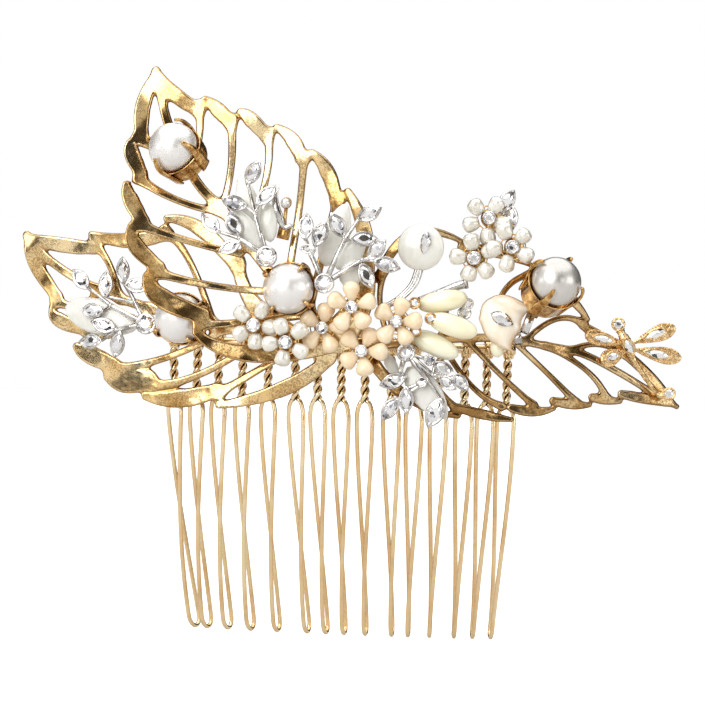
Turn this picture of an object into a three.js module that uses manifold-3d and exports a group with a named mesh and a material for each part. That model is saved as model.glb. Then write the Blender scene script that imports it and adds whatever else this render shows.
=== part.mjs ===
// Decorative hair comb: a twisted-wire comb carrying three openwork metal leaves, set pearls,
// shell petals, bead flowers, stone sprays and a small dragonfly.
// Millimetres, +Z up, teeth pointing down, decorated side facing -Y. Origin: middle of the spine.
import * as THREE from 'three';
import { mergeVertices } from 'three/addons/utils/BufferGeometryUtils.js';
import Module from 'manifold-3d';

// Comb
const TOOTH_COUNT = 15;
const TOOTH_PITCH = 4.1;
const TOOTH_LENGTH = 50;
const TWIST_LENGTH = 9.5;
const WIRE_RADIUS = 0.4;
const TWIST_RADIUS = 0.78;
const LOOP_HALF_WIDTH = 1.28;
const TIP_HALF_WIDTH = 1.7;
const TIP_OVERLAP = 0.3;
const PAIR_TURN = -1.64;
const TURN_EASE = 1.6;
const TOOTH_BOW = 10;
// How far each hand-bent tooth strays sideways from an even comb, at its root and at its tip
const ROOT_SHIFTS = [-0.8, -0.4, -0.6, -0.4, 0, 0.6, 0.4, 0.5, 0.5, 0.8, 0.8, 0.9, 1, 0.6, 0.1];
const TIP_SHIFTS = [-0.2, -1.5, -1.4, -0.9, 0.2, 1.9, 1.5, 1, 1, 1.9, 1, 1, 1.5, 0.9, 0.2];
const SPINE_RADIUS = 0.8;
const SPINE_ARCH_RADIUS = 102;
const SPINE_HALF_LENGTH = 30.4;

// Leaves
const LEAF_THICKNESS = 1;
const RIM_WIDTH = 2.5;
const MIDRIB_WIDTH = 1.7;
const VEIN_WIDTH = 1.2;
const SIDE_LEAF_Y = -3;
const SIDE_LEAF_ARCH = 0.0028;
const UPPER_LEAF_Y = -5.2;

// Posts that fix each ornament to the leaf behind it
const POST_RADIUS = 0.45;
const POST_GAP = 0.6;

// Pearls in claw cups
const PEARL_RADIUS = 4.2;
const CUP_FLOOR = 0.6;
const PEARL_GAP = 0.3;
const PRONG_RADIUS = 0.3;
const PRONG_GAP = 0.6;

// Bead flowers
const FLOWER_RING = 2.55;
const BEAD_LENGTH = 2.9;
const BEAD_WIDTH = 2.4;
const BEAD_DEPTH = 2.3;

// Stones and stems
const MARQUISE_LENGTH = 4.2;
const MARQUISE_WIDTH = 2.2;
const MARQUISE_DEPTH = 1.3;
const STEM_RADIUS = 0.3;

const wasm = await Module();
wasm.setup();

const comb = new THREE.Group();

const GOLD = { color: 0xc09a55, roughness: 0.38, metalness: 1 };
const PALE_GOLD = { color: 0xdcbc78, roughness: 0.28, metalness: 1 };
const SILVER = { color: 0xd8d8da, roughness: 0.15, metalness: 1 };
const PEARL = { color: 0xece9e2, roughness: 0.22, metalness: 0 };
const SHELL = { color: 0xe4e3de, roughness: 0.3, metalness: 0 };
const WHITE_BEAD = { color: 0xefede6, roughness: 0.25, metalness: 0 };
const PEACH_BEAD = { color: 0xf6d9b0, roughness: 0.2, metalness: 0 };
const CREAM = { color: 0xeee8c2, roughness: 0.3, metalness: 0 };

function addPart(name, geometry, look) {
  const mesh = new THREE.Mesh(geometry, new THREE.MeshStandardMaterial(look));
  mesh.name = name;
  comb.add(mesh);
}

function toSolid(geometry) {
  const bare = geometry.clone();
  bare.deleteAttribute('normal');
  bare.deleteAttribute('uv');
  const merged = mergeVertices(bare, 1e-4);
  return new wasm.Manifold(new wasm.Mesh({
    numProp: 3,
    vertProperties: new Float32Array(merged.attributes.position.array),
    triVerts: new Uint32Array(merged.index.array),
  }));
}

function union(geometries) {
  let solid = toSolid(geometries[0]);
  for (const geometry of geometries.slice(1)) {
    solid = solid.add(toSolid(geometry));
  }
  const mesh = solid.getMesh();
  const joined = new THREE.BufferGeometry();
  joined.setAttribute('position', new THREE.BufferAttribute(new Float32Array(mesh.vertProperties), 3));
  joined.setIndex(new THREE.BufferAttribute(new Uint32Array(mesh.triVerts), 1));
  joined.computeVertexNormals();
  return joined;
}

// ---- small solids -------------------------------------------------------------------------

function polygonShape(radius, sides) {
  const corners = [];
  for (let i = 0; i < sides; i += 1) {
    const angle = (2 * Math.PI * i) / sides;
    corners.push(new THREE.Vector2(radius * Math.cos(angle), radius * Math.sin(angle)));
  }
  return new THREE.Shape(corners);
}

function tube(points, radius, sides, steps) {
  const path = new THREE.CatmullRomCurve3(points);
  return new THREE.ExtrudeGeometry(polygonShape(radius, sides), {
    steps,
    extrudePath: path,
    bevelEnabled: false,
  });
}

function rod(start, end, radius, endRadius = radius) {
  const from = new THREE.Vector3(...start);
  const to = new THREE.Vector3(...end);
  const direction = to.clone().sub(from);
  const geometry = new THREE.CylinderGeometry(endRadius, radius, direction.length(), 4);
  geometry.applyQuaternion(new THREE.Quaternion().setFromUnitVectors(
    new THREE.Vector3(0, 1, 0),
    direction.normalize(),
  ));
  const middle = from.add(to).multiplyScalar(0.5);
  return geometry.translate(middle.x, middle.y, middle.z);
}

// Egg-like solid, long axis in the XZ plane at the given angle (degrees from +X)
function ovoid(x, y, z, length, width, depth, angle, around = 6, along = 4) {
  const geometry = new THREE.SphereGeometry(1, around, along);
  geometry.rotateZ(-Math.PI / 2);
  geometry.scale(length / 2, depth / 2, width / 2);
  geometry.rotateY(-THREE.MathUtils.degToRad(angle));
  return geometry.translate(x, y, z);
}

function marquise(x, y, z, angle, scale = 1) {
  const length = MARQUISE_LENGTH * scale;
  const width = MARQUISE_WIDTH * scale;
  return ovoid(x, y, z, length, width, MARQUISE_DEPTH, angle, 4, 4);
}

// Post from the back of an ornament to just short of the leaf's front face at [footX, footZ]
function post(from, [footX, footZ], depthAt) {
  const footY = depthAt(footX, footZ) - LEAF_THICKNESS / 2 - POST_GAP;
  return rod(from, [footX, footY, footZ], POST_RADIUS);
}

// Cut stone seen from the front: its wide face is towards -Y
function roundStone(x, y, z, radius, depth) {
  return new THREE.CylinderGeometry(radius * 0.8, radius, depth, 8).translate(x, y, z);
}

// ---- comb ---------------------------------------------------------------------------------

function archOffset(x) {
  return SPINE_ARCH_RADIUS - Math.sqrt(SPINE_ARCH_RADIUS ** 2 - x ** 2);
}

function makeSpine() {
  const points = [];
  for (let i = 0; i <= 8; i += 1) {
    const x = SPINE_HALF_LENGTH * (i / 4 - 1);
    points.push(new THREE.Vector3(x, archOffset(x), 0));
  }
  addPart('comb_spine', tube(points, SPINE_RADIUS, 8, 16), PALE_GOLD);
}

function toothBow(z) {
  return TOOTH_BOW * (z / TOOTH_LENGTH) ** 2;
}

// One leg of the hairpin loop: the pair turns about a quarter turn on its way to the tip
function legPoint(side, t) {
  const z = -TWIST_LENGTH - t * (TOOTH_LENGTH - TWIST_LENGTH - TIP_HALF_WIDTH);
  const opening = Math.min(1, 0.15 + t * 9);
  const spread = side * opening * (LOOP_HALF_WIDTH + t * (TIP_HALF_WIDTH - LOOP_HALF_WIDTH));
  const turn = PAIR_TURN * (1 - (1 - t) ** TURN_EASE);
  return new THREE.Vector3(spread * Math.cos(turn), toothBow(z) + spread * Math.sin(turn), z);
}

// One half of the hairpin, from the twist round to just past the middle of the tip
function toothLeg(side) {
  const leg = [0, 0.05, 0.11, 0.25, 0.4, 0.55, 0.7, 0.85, 1].map((t) => legPoint(side, t));
  const tip = new THREE.Vector3(0, toothBow(TOOTH_LENGTH), -TOOTH_LENGTH);
  const across = new THREE.Vector3(Math.cos(PAIR_TURN), Math.sin(PAIR_TURN), 0);
  const pastTip = tip.clone().addScaledVector(across, -side * TIP_OVERLAP);
  return tube([...leg, tip, pastTip], WIRE_RADIUS, 4, 13);
}

function makeTooth(index) {
  const twist = [-1.2, -5, -TWIST_LENGTH - 0.4].map((z) => new THREE.Vector3(0, toothBow(z), z));
  const tooth = union([toothLeg(-1), toothLeg(1), tube(twist, TWIST_RADIUS, 5, 2)]);
  const x = TOOTH_PITCH * (index - (TOOTH_COUNT - 1) / 2) + ROOT_SHIFTS[index];
  const lean = (ROOT_SHIFTS[index] - TIP_SHIFTS[index]) / TOOTH_LENGTH;
  tooth.rotateZ(Math.asin(x / SPINE_ARCH_RADIUS));
  tooth.applyMatrix4(new THREE.Matrix4().makeShear(0, 0, 0, 0, lean, 0));
  tooth.translate(x, archOffset(x), 0);
  addPart(`tooth_${String(index + 1).padStart(2, '0')}`, tooth, PALE_GOLD);
}

function makeFixingBar() {
  addPart('fixing_bar', new THREE.BoxGeometry(16, 0.6, 2.4).translate(0, -1.42, 0), PALE_GOLD);
}

// ---- openwork leaves ----------------------------------------------------------------------

// Smooth curve through three or more [x, z] points
function curvePoints(points, steps) {
  const path = new THREE.SplineCurve(points.map((p) => new THREE.Vector2(...p)));
  return path.getPoints(steps);
}

// Flat strip along a curve, reaching `left` and `right` of it, run on a little at its far end
function strip(points, left, right, steps) {
  const line = curvePoints(points, steps);
  const last = line[steps];
  const runOn = last.clone().sub(line[steps - 1]).setLength(0.7);
  line.push(last.clone().add(runOn));
  const leftSide = [];
  const rightSide = [];
  line.forEach((point, i) => {
    const before = line[Math.max(i - 1, 0)];
    const after = line[Math.min(i + 1, line.length - 1)];
    const along = after.clone().sub(before).normalize();
    const normal = new THREE.Vector2(-along.y, along.x);
    leftSide.push(point.clone().addScaledVector(normal, left));
    rightSide.unshift(point.clone().addScaledVector(normal, -right));
  });
  const shape = new THREE.Shape([...leftSide, ...rightSide]);
  const geometry = new THREE.ExtrudeGeometry(shape, { depth: LEAF_THICKNESS, bevelEnabled: false });
  geometry.rotateX(Math.PI / 2);
  return geometry.translate(0, LEAF_THICKNESS / 2, 0);
}

function basePad([x, z], radius) {
  return new THREE.CylinderGeometry(radius, radius, LEAF_THICKNESS, 12).translate(x, 0, z);
}

// Rims are rows of lobes [start, middle, end]; `inside` is the side of travel the metal lies on.
// `slimness` scales the width of every strip.
function makeLeaf(name, leaf, depthAt) {
  const rimWidth = RIM_WIDTH * leaf.slimness;
  const halfVein = (VEIN_WIDTH / 2) * leaf.slimness;
  const halfMidrib = (MIDRIB_WIDTH / 2) * leaf.slimness;
  const strips = [
    basePad(leaf.base, leaf.baseRadius),
    strip(leaf.midrib, halfMidrib, halfMidrib, 9),
  ];
  for (const rim of leaf.rims) {
    const left = rim.inside === 'left' ? rimWidth : 0;
    for (const lobe of rim.lobes) {
      strips.push(strip(lobe, left, rimWidth - left, 4));
    }
  }
  for (const vein of leaf.veins) {
    strips.push(strip(vein, halfVein, halfVein, 4));
  }
  const geometry = union(strips);
  const position = geometry.attributes.position;
  for (let i = 0; i < position.count; i += 1) {
    const bend = depthAt(position.getX(i), position.getZ(i));
    position.setY(i, position.getY(i) + bend);
  }
  geometry.computeVertexNormals();
  addPart(name, geometry, GOLD);
}

const UPPER_LEAF = {
  slimness: 1,
  base: [1.6, 0.6],
  baseRadius: 2.2,
  midrib: [
    [-32.3, 44.5],
    [-29.7, 35.9],
    [-24.5, 26.9],
    [-19.8, 22.1],
    [-12.9, 13.7],
    [-6.1, 6.6],
    [2.2, 0.8],
  ],
  rims: [
    {
      inside: 'right',
      lobes: [
        [[-32.8, 46.5], [-28.9, 43.5], [-24.7, 40.4]],
        [[-23.7, 41.9], [-20.8, 40.6], [-18.7, 38.2]],
        [[-17.6, 39.9], [-14.9, 39], [-12.3, 36]],
        [[-11, 37.3], [-7.3, 35.3], [-5.7, 31.8]],
        [[-4.5, 33], [-1, 30], [0.5, 24.9]],
        [[2.1, 26.4], [5.7, 20.4], [6, 14.2]],
        [[6, 14.2], [6.6, 7.8], [3.6, 0.9]],
      ],
    },
    {
      inside: 'left',
      lobes: [
        [[-32.8, 46.5], [-35.7, 41.1], [-35.3, 34.9]],
        [[-36.7, 33.7], [-36.9, 31], [-34.8, 27.7]],
        [[-36.9, 26.4], [-36.5, 23.1], [-33.9, 19.6]],
        [[-35.4, 19.3], [-34.9, 15.1], [-30.5, 11.5]],
        [[-32.3, 10.6], [-29.8, 5.7], [-22.5, 3.1]],
        [[-23.4, 0.9], [-14.2, -3.4], [0.7, -1.1]],
      ],
    },
  ],
  veins: [
    [[-26, 30], [-24.7, 34.3], [-25, 40]],
    [[-20.2, 22.7], [-18.9, 30.1], [-19.1, 37.6]],
    [[-15.8, 17.4], [-12.8, 27.7], [-12.8, 35.5]],
    [[-8.3, 9.9], [-6.6, 26.1], [-6.2, 31.2]],
    [[-4.4, 5.8], [-1.4, 20.3], [0, 24.4]],
    [[-0.9, 3.3], [4.1, 9.4], [5.2, 14]],
    [[-28.5, 32.5], [-32.1, 32.7], [-34.8, 34.4]],
    [[-20.1, 22.1], [-27.3, 23.7], [-34.2, 27.3]],
    [[-16.7, 15], [-25.3, 16.9], [-33.3, 19.3]],
    [[-8.8, 8.7], [-20.7, 9.4], [-30, 11.4]],
    [[-5.2, 4.9], [-15.3, 3.4], [-22.5, 2.7]],
  ],
};

const LEFT_LEAF = {
  slimness: 1,
  base: [-1.8, -1.3],
  baseRadius: 1.9,
  midrib: [[-55.2, 15.6], [-48.9, 11.3], [-41.1, 7.8], [-32, 5.1], [-21.3, 2.8], [-9.8, 0.9], [-0.8, -0.9]],
  rims: [
    {
      inside: 'right',
      lobes: [
        [[-56.8, 17.9], [-50.2, 17.4], [-44, 16.6]],
        [[-44.3, 18.5], [-37.7, 18.3], [-30.8, 19.2]],
        [[-30.5, 21.5], [-23.6, 20.2], [-17.2, 13.7]],
        [[-16.5, 14.4], [-13.1, 7.3], [-1.2, 0.2]],
      ],
    },
    {
      inside: 'left',
      lobes: [
        [[-56.8, 17.9], [-56, 12.2], [-51.1, 6.3]],
        [[-51.9, 4.8], [-50.3, 1.7], [-44.3, 0.4]],
        [[-47.1, -2], [-44.6, -4.4], [-39.9, -5.8]],
        [[-41, -7.3], [-37.2, -9.4], [-32.2, -8.2]],
        [[-33.6, -10.5], [-27.1, -11.6], [-20.3, -9.5]],
        [[-20.2, -11.5], [-8.6, -9], [-0.6, -3.2]],
      ],
    },
  ],
  veins: [
    [[-38.6, 6.8], [-40.7, 12.7], [-43.6, 16]],
    [[-21.5, 2.8], [-26.1, 13.5], [-30.8, 18.6]],
    [[-13, 1.7], [-16.2, 8.9], [-17.3, 13.2]],
    [[-42.4, 8.3], [-46, 5.6], [-50.6, 6.3]],
    [[-33.1, 5.4], [-38.4, 1.1], [-44.3, 0.9]],
    [[-19.5, 2.2], [-29.2, -2.8], [-39.9, -5.2]],
    [[-12.9, 1], [-23.7, -5.7], [-32.2, -7.7]],
    [[-6.3, 0], [-12.8, -4.3], [-20.3, -8.8]],
  ],
};

const RIGHT_LEAF = {
  slimness: 0.75,
  base: [4.9, -0.2],
  baseRadius: 2,
  midrib: [[55.6, -7.9], [48.2, -3.5], [41.3, -0.2], [34.7, 1], [27.7, 2], [15.9, 1.3], [4.2, -0.3]],
  rims: [
    {
      inside: 'left',
      lobes: [
        [[57.7, -8.9], [53.7, -3.3], [46.6, 2.6]],
        [[46.9, 2.4], [44.3, 3.9], [42, 5]],
        [[42.6, 5.8], [38.8, 10.5], [32.7, 13.5]],
        [[32.5, 15], [26.4, 17.4], [20.7, 17.9]],
        [[20.9, 18.6], [12, 19.9], [6.2, 12.1]],
        [[6.4, 12.4], [4.2, 9.1], [3.6, 1.2]],
      ],
    },
    {
      inside: 'right',
      lobes: [
        [[57.7, -8.9], [52.2, -8.5], [48.1, -7.6]],
        [[48.1, -8.6], [45.5, -8.8], [43.2, -8.3]],
        [[43.1, -9.3], [40.1, -9.8], [36.7, -9.1]],
        [[37.2, -10.1], [33.6, -11.2], [29.7, -10.5]],
        [[30, -12.2], [25.4, -12], [21.1, -10.8]],
        [[21.1, -11.9], [12, -9.3], [4.6, -2.1]],
      ],
    },
  ],
  veins: [
    [[35.3, 0.9], [42.2, -3], [45.5, -7.3]],
    [[29.7, 1.8], [35.4, -3.4], [40.6, -8.4]],
    [[21.8, 1.8], [28.5, -4.8], [33.6, -9.2]],
    [[17.6, 1.3], [22.9, -6], [28.3, -9.6]],
    [[10.8, 0.6], [16.1, -5.5], [20.4, -10]],
    [[5.6, -0.6], [8.1, -4], [10.8, -7.6]],
    [[31.9, 1.5], [36.8, 5.4], [41.2, 5]],
    [[39.6, 0.3], [44, 1.4], [48.6, 0]],
    [[26.8, 2], [27.9, 9.5], [32.5, 13]],
    [[17.6, 1.3], [18.3, 5.2], [18.9, 8.8]],
    [[9.1, 0.6], [7.2, 7.8], [8.4, 13.4]],
  ],
};

function sideLeafDepth(x) {
  return SIDE_LEAF_Y + SIDE_LEAF_ARCH * x ** 2;
}

// The upper leaf is cupped about its axis, its left half curling forward over the left leaf
function upperLeafDepth(x, z) {
  const across = 0.84 * x + 0.543 * (z + 2);
  const cupping = across < 0 ? 0.015 : 0.004;
  return UPPER_LEAF_Y - cupping * across ** 2 + 0.0012 * z ** 2;
}

// ---- pearls -------------------------------------------------------------------------------

// Claw that follows the pearl's outline from the cup wall round to its front
function prong(angle, halfDepth) {
  const points = [42, 25, 8, -15, -42].map((degrees) => {
    const t = THREE.MathUtils.degToRad(degrees);
    const outward = new THREE.Vector2(Math.cos(t) / PEARL_RADIUS, Math.sin(t) / halfDepth).normalize();
    const reach = PEARL_RADIUS * Math.cos(t) + PRONG_GAP * outward.x;
    const back = halfDepth * Math.sin(t) + PRONG_GAP * outward.y;
    return new THREE.Vector3(reach * Math.cos(angle), back, reach * Math.sin(angle));
  });
  return tube(points, PRONG_RADIUS, 4, 5);
}

// Round cup behind the pearl, open towards it; `depth` is how far back its base lies
function cupWall(depth) {
  const profile = [
    [0, depth],
    [3.3, depth],
    [3.8, depth - 0.25],
    [4.2, 2.2],
    [4.7, 1.5],
    [4.7, 1.2],
    [4.4, 1.2],
    [3.95, 2.2],
    [3.4, depth - CUP_FLOOR],
    [0, depth - CUP_FLOOR],
  ];
  return new THREE.LatheGeometry(profile.map((p) => new THREE.Vector2(...p)).reverse(), 16);
}

// A pearl in its claw cup, tilted, with a post from the middle of the base to the leaf
function makeSetPearl(place, [x, y, z], prongAngle, [tiltX, tiltZ], depth, foot, depthAt) {
  const halfDepth = Math.min(PEARL_RADIUS, depth - CUP_FLOOR - PEARL_GAP);
  const pearl = ovoid(0, 0, 0, 2 * PEARL_RADIUS, 2 * PEARL_RADIUS, 2 * halfDepth, 90, 12, 8);
  const turns = [0, 90, 180, 270].map((turn) => THREE.MathUtils.degToRad(prongAngle + turn));
  const prongs = turns.map((turn) => prong(turn, halfDepth));
  const cup = union([cupWall(depth), ...prongs]);
  const base = new THREE.BufferGeometry().setFromPoints([new THREE.Vector3(0, depth - 0.3, 0)]);
  for (const geometry of [pearl, cup, base]) {
    geometry.rotateX(tiltX);
    geometry.rotateZ(tiltZ);
    geometry.translate(x, y, z);
  }
  const root = base.attributes.position.array;
  addPart(`pearl_${place}`, pearl, PEARL);
  addPart(`pearl_cup_${place}`, union([cup, post([...root], foot, depthAt)]), PALE_GOLD);
}

// ---- petals, sprays and flowers -----------------------------------------------------------

function makePetal(name, from, to, width) {
  const start = new THREE.Vector3(...from);
  const end = new THREE.Vector3(...to);
  const length = start.distanceTo(end);
  const geometry = ovoid(0, 0, 0, length, width, 1, 0, 8, 6);
  geometry.applyQuaternion(new THREE.Quaternion().setFromUnitVectors(
    new THREE.Vector3(1, 0, 0),
    end.clone().sub(start).normalize(),
  ));
  const middle = start.add(end).multiplyScalar(0.5);
  addPart(name, geometry.translate(middle.x, middle.y, middle.z), SHELL);
}

// A hub stone with branches; each branch is a fork point carrying marquise stones [x, z, angle]
function makeSpray(name, { y, slope, hub, hubRadius, branches, beads = [], foot, depthAt }) {
  const depth = (x) => y + slope * (x - hub[0]);
  const solids = [roundStone(hub[0], y, hub[1], hubRadius, 1.4)];
  if (foot) {
    solids.push(post([hub[0], y, hub[1]], foot, depthAt));
  }
  for (const { fork, stones } of branches) {
    const forkPoint = [fork[0], depth(fork[0]), fork[1]];
    solids.push(rod([hub[0], y, hub[1]], forkPoint, STEM_RADIUS));
    solids.push(new THREE.OctahedronGeometry(0.6).translate(...forkPoint));
    for (const [x, z, angle, scale] of stones) {
      solids.push(rod(forkPoint, [x, depth(x), z], STEM_RADIUS));
      solids.push(marquise(x, depth(x), z, angle, scale));
    }
  }
  for (const [fromX, fromZ, x, z] of beads) {
    solids.push(rod([fromX, depth(fromX), fromZ], [x, depth(x), z], STEM_RADIUS));
    solids.push(ovoid(x, depth(x), z, 1.7, 1.7, 1.4, 0));
  }
  addPart(name, union(solids), SILVER);
}

function makeFlower(name, [x, y, z], firstAngle, look, foot, depthAt) {
  const solids = [roundStone(x, y, z, 1.35, 2), post([x, y, z], foot, depthAt)];
  for (let i = 0; i < 5; i += 1) {
    const angle = firstAngle + 72 * i;
    const radians = THREE.MathUtils.degToRad(angle);
    const beadX = x + FLOWER_RING * Math.cos(radians);
    const beadZ = z + FLOWER_RING * Math.sin(radians);
    solids.push(ovoid(beadX, y, beadZ, BEAD_LENGTH, BEAD_WIDTH, BEAD_DEPTH, angle));
  }
  addPart(name, union(solids), look);
}

// ---- shell button, tulip shell, long beads, dragonfly -------------------------------------

function makeButton() {
  const profile = [[0, -1.1], [1.6, -0.9], [3.1, -0.4], [3.9, 0.2], [3.9, 0.7], [0, 0.7]];
  const dome = new THREE.LatheGeometry(profile.map((p) => new THREE.Vector2(...p)), 16);
  dome.scale(0.96, 1, 1.04).translate(14.3, -6, 16.9);
  const stem = [[14.2, -5.8, 14], [13.4, -5.8, 11], [11.2, -5.8, 8.3], [8.4, -5.6, 6.6]];
  const wire = tube(stem.map((p) => new THREE.Vector3(...p)), 0.5, 5, 6);
  const fixing = post([14.1, -5.6, 17.4], [13.5, 18.3], sideLeafDepth);
  addPart('shell_button', union([dome, wire, marquise(15.2, -7.2, 17.7, 80, 0.9), fixing]), SHELL);
}

function makeBranchStem() {
  const points = [[13.7, -2.6, 8.2], [17, -2.4, 9.4], [19.4, -2.2, 10.3], [21.7, -2, 11.1]];
  addPart('branch_stem', tube(points.map((p) => new THREE.Vector3(...p)), 0.35, 5, 5), SILVER);
}

function makeBell() {
  const shape = new THREE.Shape();
  shape.moveTo(24.4, 5.3);
  shape.quadraticCurveTo(24.6, 9.1, 28.2, 9.1);
  shape.quadraticCurveTo(31.2, 9, 33.1, 7.1);
  shape.quadraticCurveTo(31.2, 5, 31.3, 3.7);
  shape.quadraticCurveTo(30.6, 2.2, 29.9, 0.2);
  shape.quadraticCurveTo(25.4, 0.8, 24.4, 5.3);
  const shell = new THREE.ExtrudeGeometry(shape, {
    depth: 2.2,
    curveSegments: 5,
    bevelThickness: 0.5,
    bevelSize: 0.4,
    bevelSegments: 1,
  });
  shell.rotateX(Math.PI / 2).translate(0, -3, 0);
  const fixing = post([27.2, -3, 5.3], [26.9, 5.3], sideLeafDepth);
  addPart('shell_bell', union([shell, marquise(28.4, -5.9, 5.3, -25, 0.85), fixing]), CREAM);
}

function makeLongBead(name, [x, y, z], angle, [stoneX, stoneZ], foot) {
  const radians = THREE.MathUtils.degToRad(angle);
  const rootX = x - 3 * Math.cos(radians);
  const rootZ = z - 3 * Math.sin(radians);
  addPart(name, union([
    ovoid(x, y, z, 7.6, 3.4, 3.4, angle, 8, 6),
    rod([rootX, y, rootZ], [stoneX, -7, stoneZ], 0.4),
    roundStone(stoneX, -7.1, stoneZ, 0.9, 1.2),
    post([x, y, z], foot, sideLeafDepth),
  ]), CREAM);
}

function makeDragonfly() {
  const depth = (x) => 1.3 + 0.22 * (x - 50);
  const wing = (x0, z0, x1, z1, width) => {
    const angle = THREE.MathUtils.radToDeg(Math.atan2(z1 - z0, x1 - x0));
    const x = (x0 + x1) / 2;
    const length = Math.hypot(x1 - x0, z1 - z0);
    const solid = ovoid(0, 0, 0, length, width, 1, angle);
    return solid.rotateZ(Math.atan(0.22)).translate(x, depth(x), (z0 + z1) / 2);
  };
  addPart('dragonfly', union([
    ovoid(47.6, depth(47.6), 4.9, 2.2, 2.2, 1.6, 0),
    ovoid(48.1, depth(48), 3.4, 1.9, 1.9, 1.6, 0),
    ovoid(49.4, depth(49.4), 1.1, 5.2, 2.5, 2, -62),
    rod([50.1, depth(50.1), -0.8], [54.9, depth(54.9), -7.2], 0.9, 0.5),
    rod([54.9, depth(54.9), -7.2], [56, depth(56), -6.8], 0.5),
    roundStone(56.4, depth(56.4), -6.6, 1.05, 1.3),
    wing(49.8, 1.6, 57.1, 4.7, 2.9),
    wing(49.6, 0.9, 58.2, -0.6, 2.9),
    wing(49.2, 1.4, 42, 3, 2.6),
    wing(49.4, 0.6, 44.9, -1.6, 2.9),
    post([49.4, 1.3, 1.1], [49, 0.6], sideLeafDepth),
  ]), PALE_GOLD);
}

// ---- assembly -----------------------------------------------------------------------------

makeSpine();
makeFixingBar();
for (let i = 0; i < TOOTH_COUNT; i += 1) {
  makeTooth(i);
}
makeLeaf('leaf_upper', UPPER_LEAF, upperLeafDepth);
makeLeaf('leaf_left', LEFT_LEAF, sideLeafDepth);
makeLeaf('leaf_right', RIGHT_LEAF, sideLeafDepth);

makeSetPearl('upper', [-27.6, -11.3, 32.5], 82, [-0.5, -0.5], 5, [-26.1, 29.9], upperLeafDepth);
makeSetPearl('middle', [-7.4, -10.4, 9.2], 56, [0, 0], 4.2, [-7.9, 8.9], upperLeafDepth);
makeSetPearl('left', [-26.8, -5.4, 3.7], 32, [0, -0.05], 3.3, [-26.8, 3.7], sideLeafDepth);
makeSetPearl('right', [37.6, -8, 11.6], 52, [-0.5, 0.6], 5.9, [35.7, 10.2], sideLeafDepth);

makePetal('petal_left', [-48.5, 2.2, 5.3], [-35, -1.1, 1.8], 6.1);
makePetal('petal_upper_long', [-12.9, -7.1, 15.8], [-16.8, -6.9, 28.4], 4.2);
makePetal('petal_upper_side', [-12.9, -8.5, 15.4], [-17.4, -8.5, 22.6], 3.8);
makePetal('petal_upper_small', [-11, -8.5, 17], [-11.6, -8.5, 23.8], 2.8);
makePetal('petal_centre_long', [-1.8, -6.6, 13.2], [1.5, -6.6, 24], 4.8);
makePetal('petal_centre_side', [0.4, -7.9, 12.8], [5, -7.9, 18.4], 4.4);
makePetal('petal_centre_low', [1.6, -9.1, 10.2], [4.8, -9.1, 14.2], 3.8);
makePetal('petal_lower_small', [8.6, -4.4, -1.2], [11, -4.4, -5.4], 1.9);
makePetal('petal_lower_large', [12.4, -4.4, -3.4], [19.4, -4.4, -12], 5.1);

makeSpray('spray_left', {
  y: -3,
  slope: -0.22,
  foot: [-34.3, 3.9],
  depthAt: sideLeafDepth,
  hub: [-33, 2.7],
  hubRadius: 1.7,
  branches: [
    { fork: [-39.7, 5.7], stones: [[-45.3, 10, -45], [-43, 4.7, 0]] },
    { fork: [-38.5, 1.5], stones: [[-40.8, 2.2, -15], [-43.2, -0.6, 5], [-38.2, -1, 75]] },
    { fork: [-35.2, 6.2], stones: [[-40.7, 9.2, 90], [-37.6, 11.7, 90], [-34.9, 9.2, 0]] },
  ],
});
makeSpray('spray_upper', {
  y: -10.4,
  slope: 0,
  foot: [-12.2, 13.7],
  depthAt: upperLeafDepth,
  hub: [-11.2, 14.5],
  hubRadius: 1.7,
  branches: [
    { fork: [-16, 17.5], stones: [[-17.1, 19.9, -65], [-21, 19.9, -45], [-17.6, 16, 25, 0.9]] },
    { fork: [-13.5, 21.7], stones: [[-14, 28.6, 60], [-17, 23.4, -15], [-11.7, 24.8, 50]] },
  ],
});
makeSpray('spray_centre', {
  y: -10.6,
  slope: 0,
  foot: [-3.2, 10.6],
  depthAt: upperLeafDepth,
  hub: [-1.2, 10.3],
  hubRadius: 1.6,
  branches: [
    { fork: [1.9, 17.6], stones: [[0.7, 20.1, -60], [6, 22.2, 25], [5.2, 17.9, 0]] },
    { fork: [5.1, 14.4], stones: [[7.4, 16.1, 45], [9.2, 13.7, -15], [5.8, 11.8, -65]] },
    { fork: [-3.7, 15], stones: [[-4.7, 19.7, 90], [-2.2, 18.5, 65], [-4.2, 16, 0, 0.6]] },
  ],
});
makeSpray('spray_lower', {
  y: -6.1,
  slope: 0,
  foot: [12.3, -1.1],
  depthAt: sideLeafDepth,
  hub: [12.4, -0.9],
  hubRadius: 1.5,
  branches: [
    { fork: [16.2, -5.6], stones: [[12.6, -8.9, 90], [9.9, -10.5, 55], [17.6, -10.9, 65, 1.2]] },
    { fork: [11.5, -4], stones: [[10.3, -5.8, 20]] },
    { fork: [17, -4.6], stones: [[18.8, -3.5, -30, 0.9], [19.5, -5.8, -35, 0.8], [21.8, -5.6, -50, 0.8]] },
  ],
  beads: [[16.2, -5.6, 15.1, -5.9], [12.4, -0.9, 16.4, -2.1]],
});
makeSpray('spray_right', {
  y: -0.6,
  slope: 0,
  hub: [26.6, 20.6],
  hubRadius: 0.8,
  branches: [{ fork: [27.6, 21.6], stones: [[28.1, 25.2, 60], [28.9, 22.3, 90]] }],
});

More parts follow.
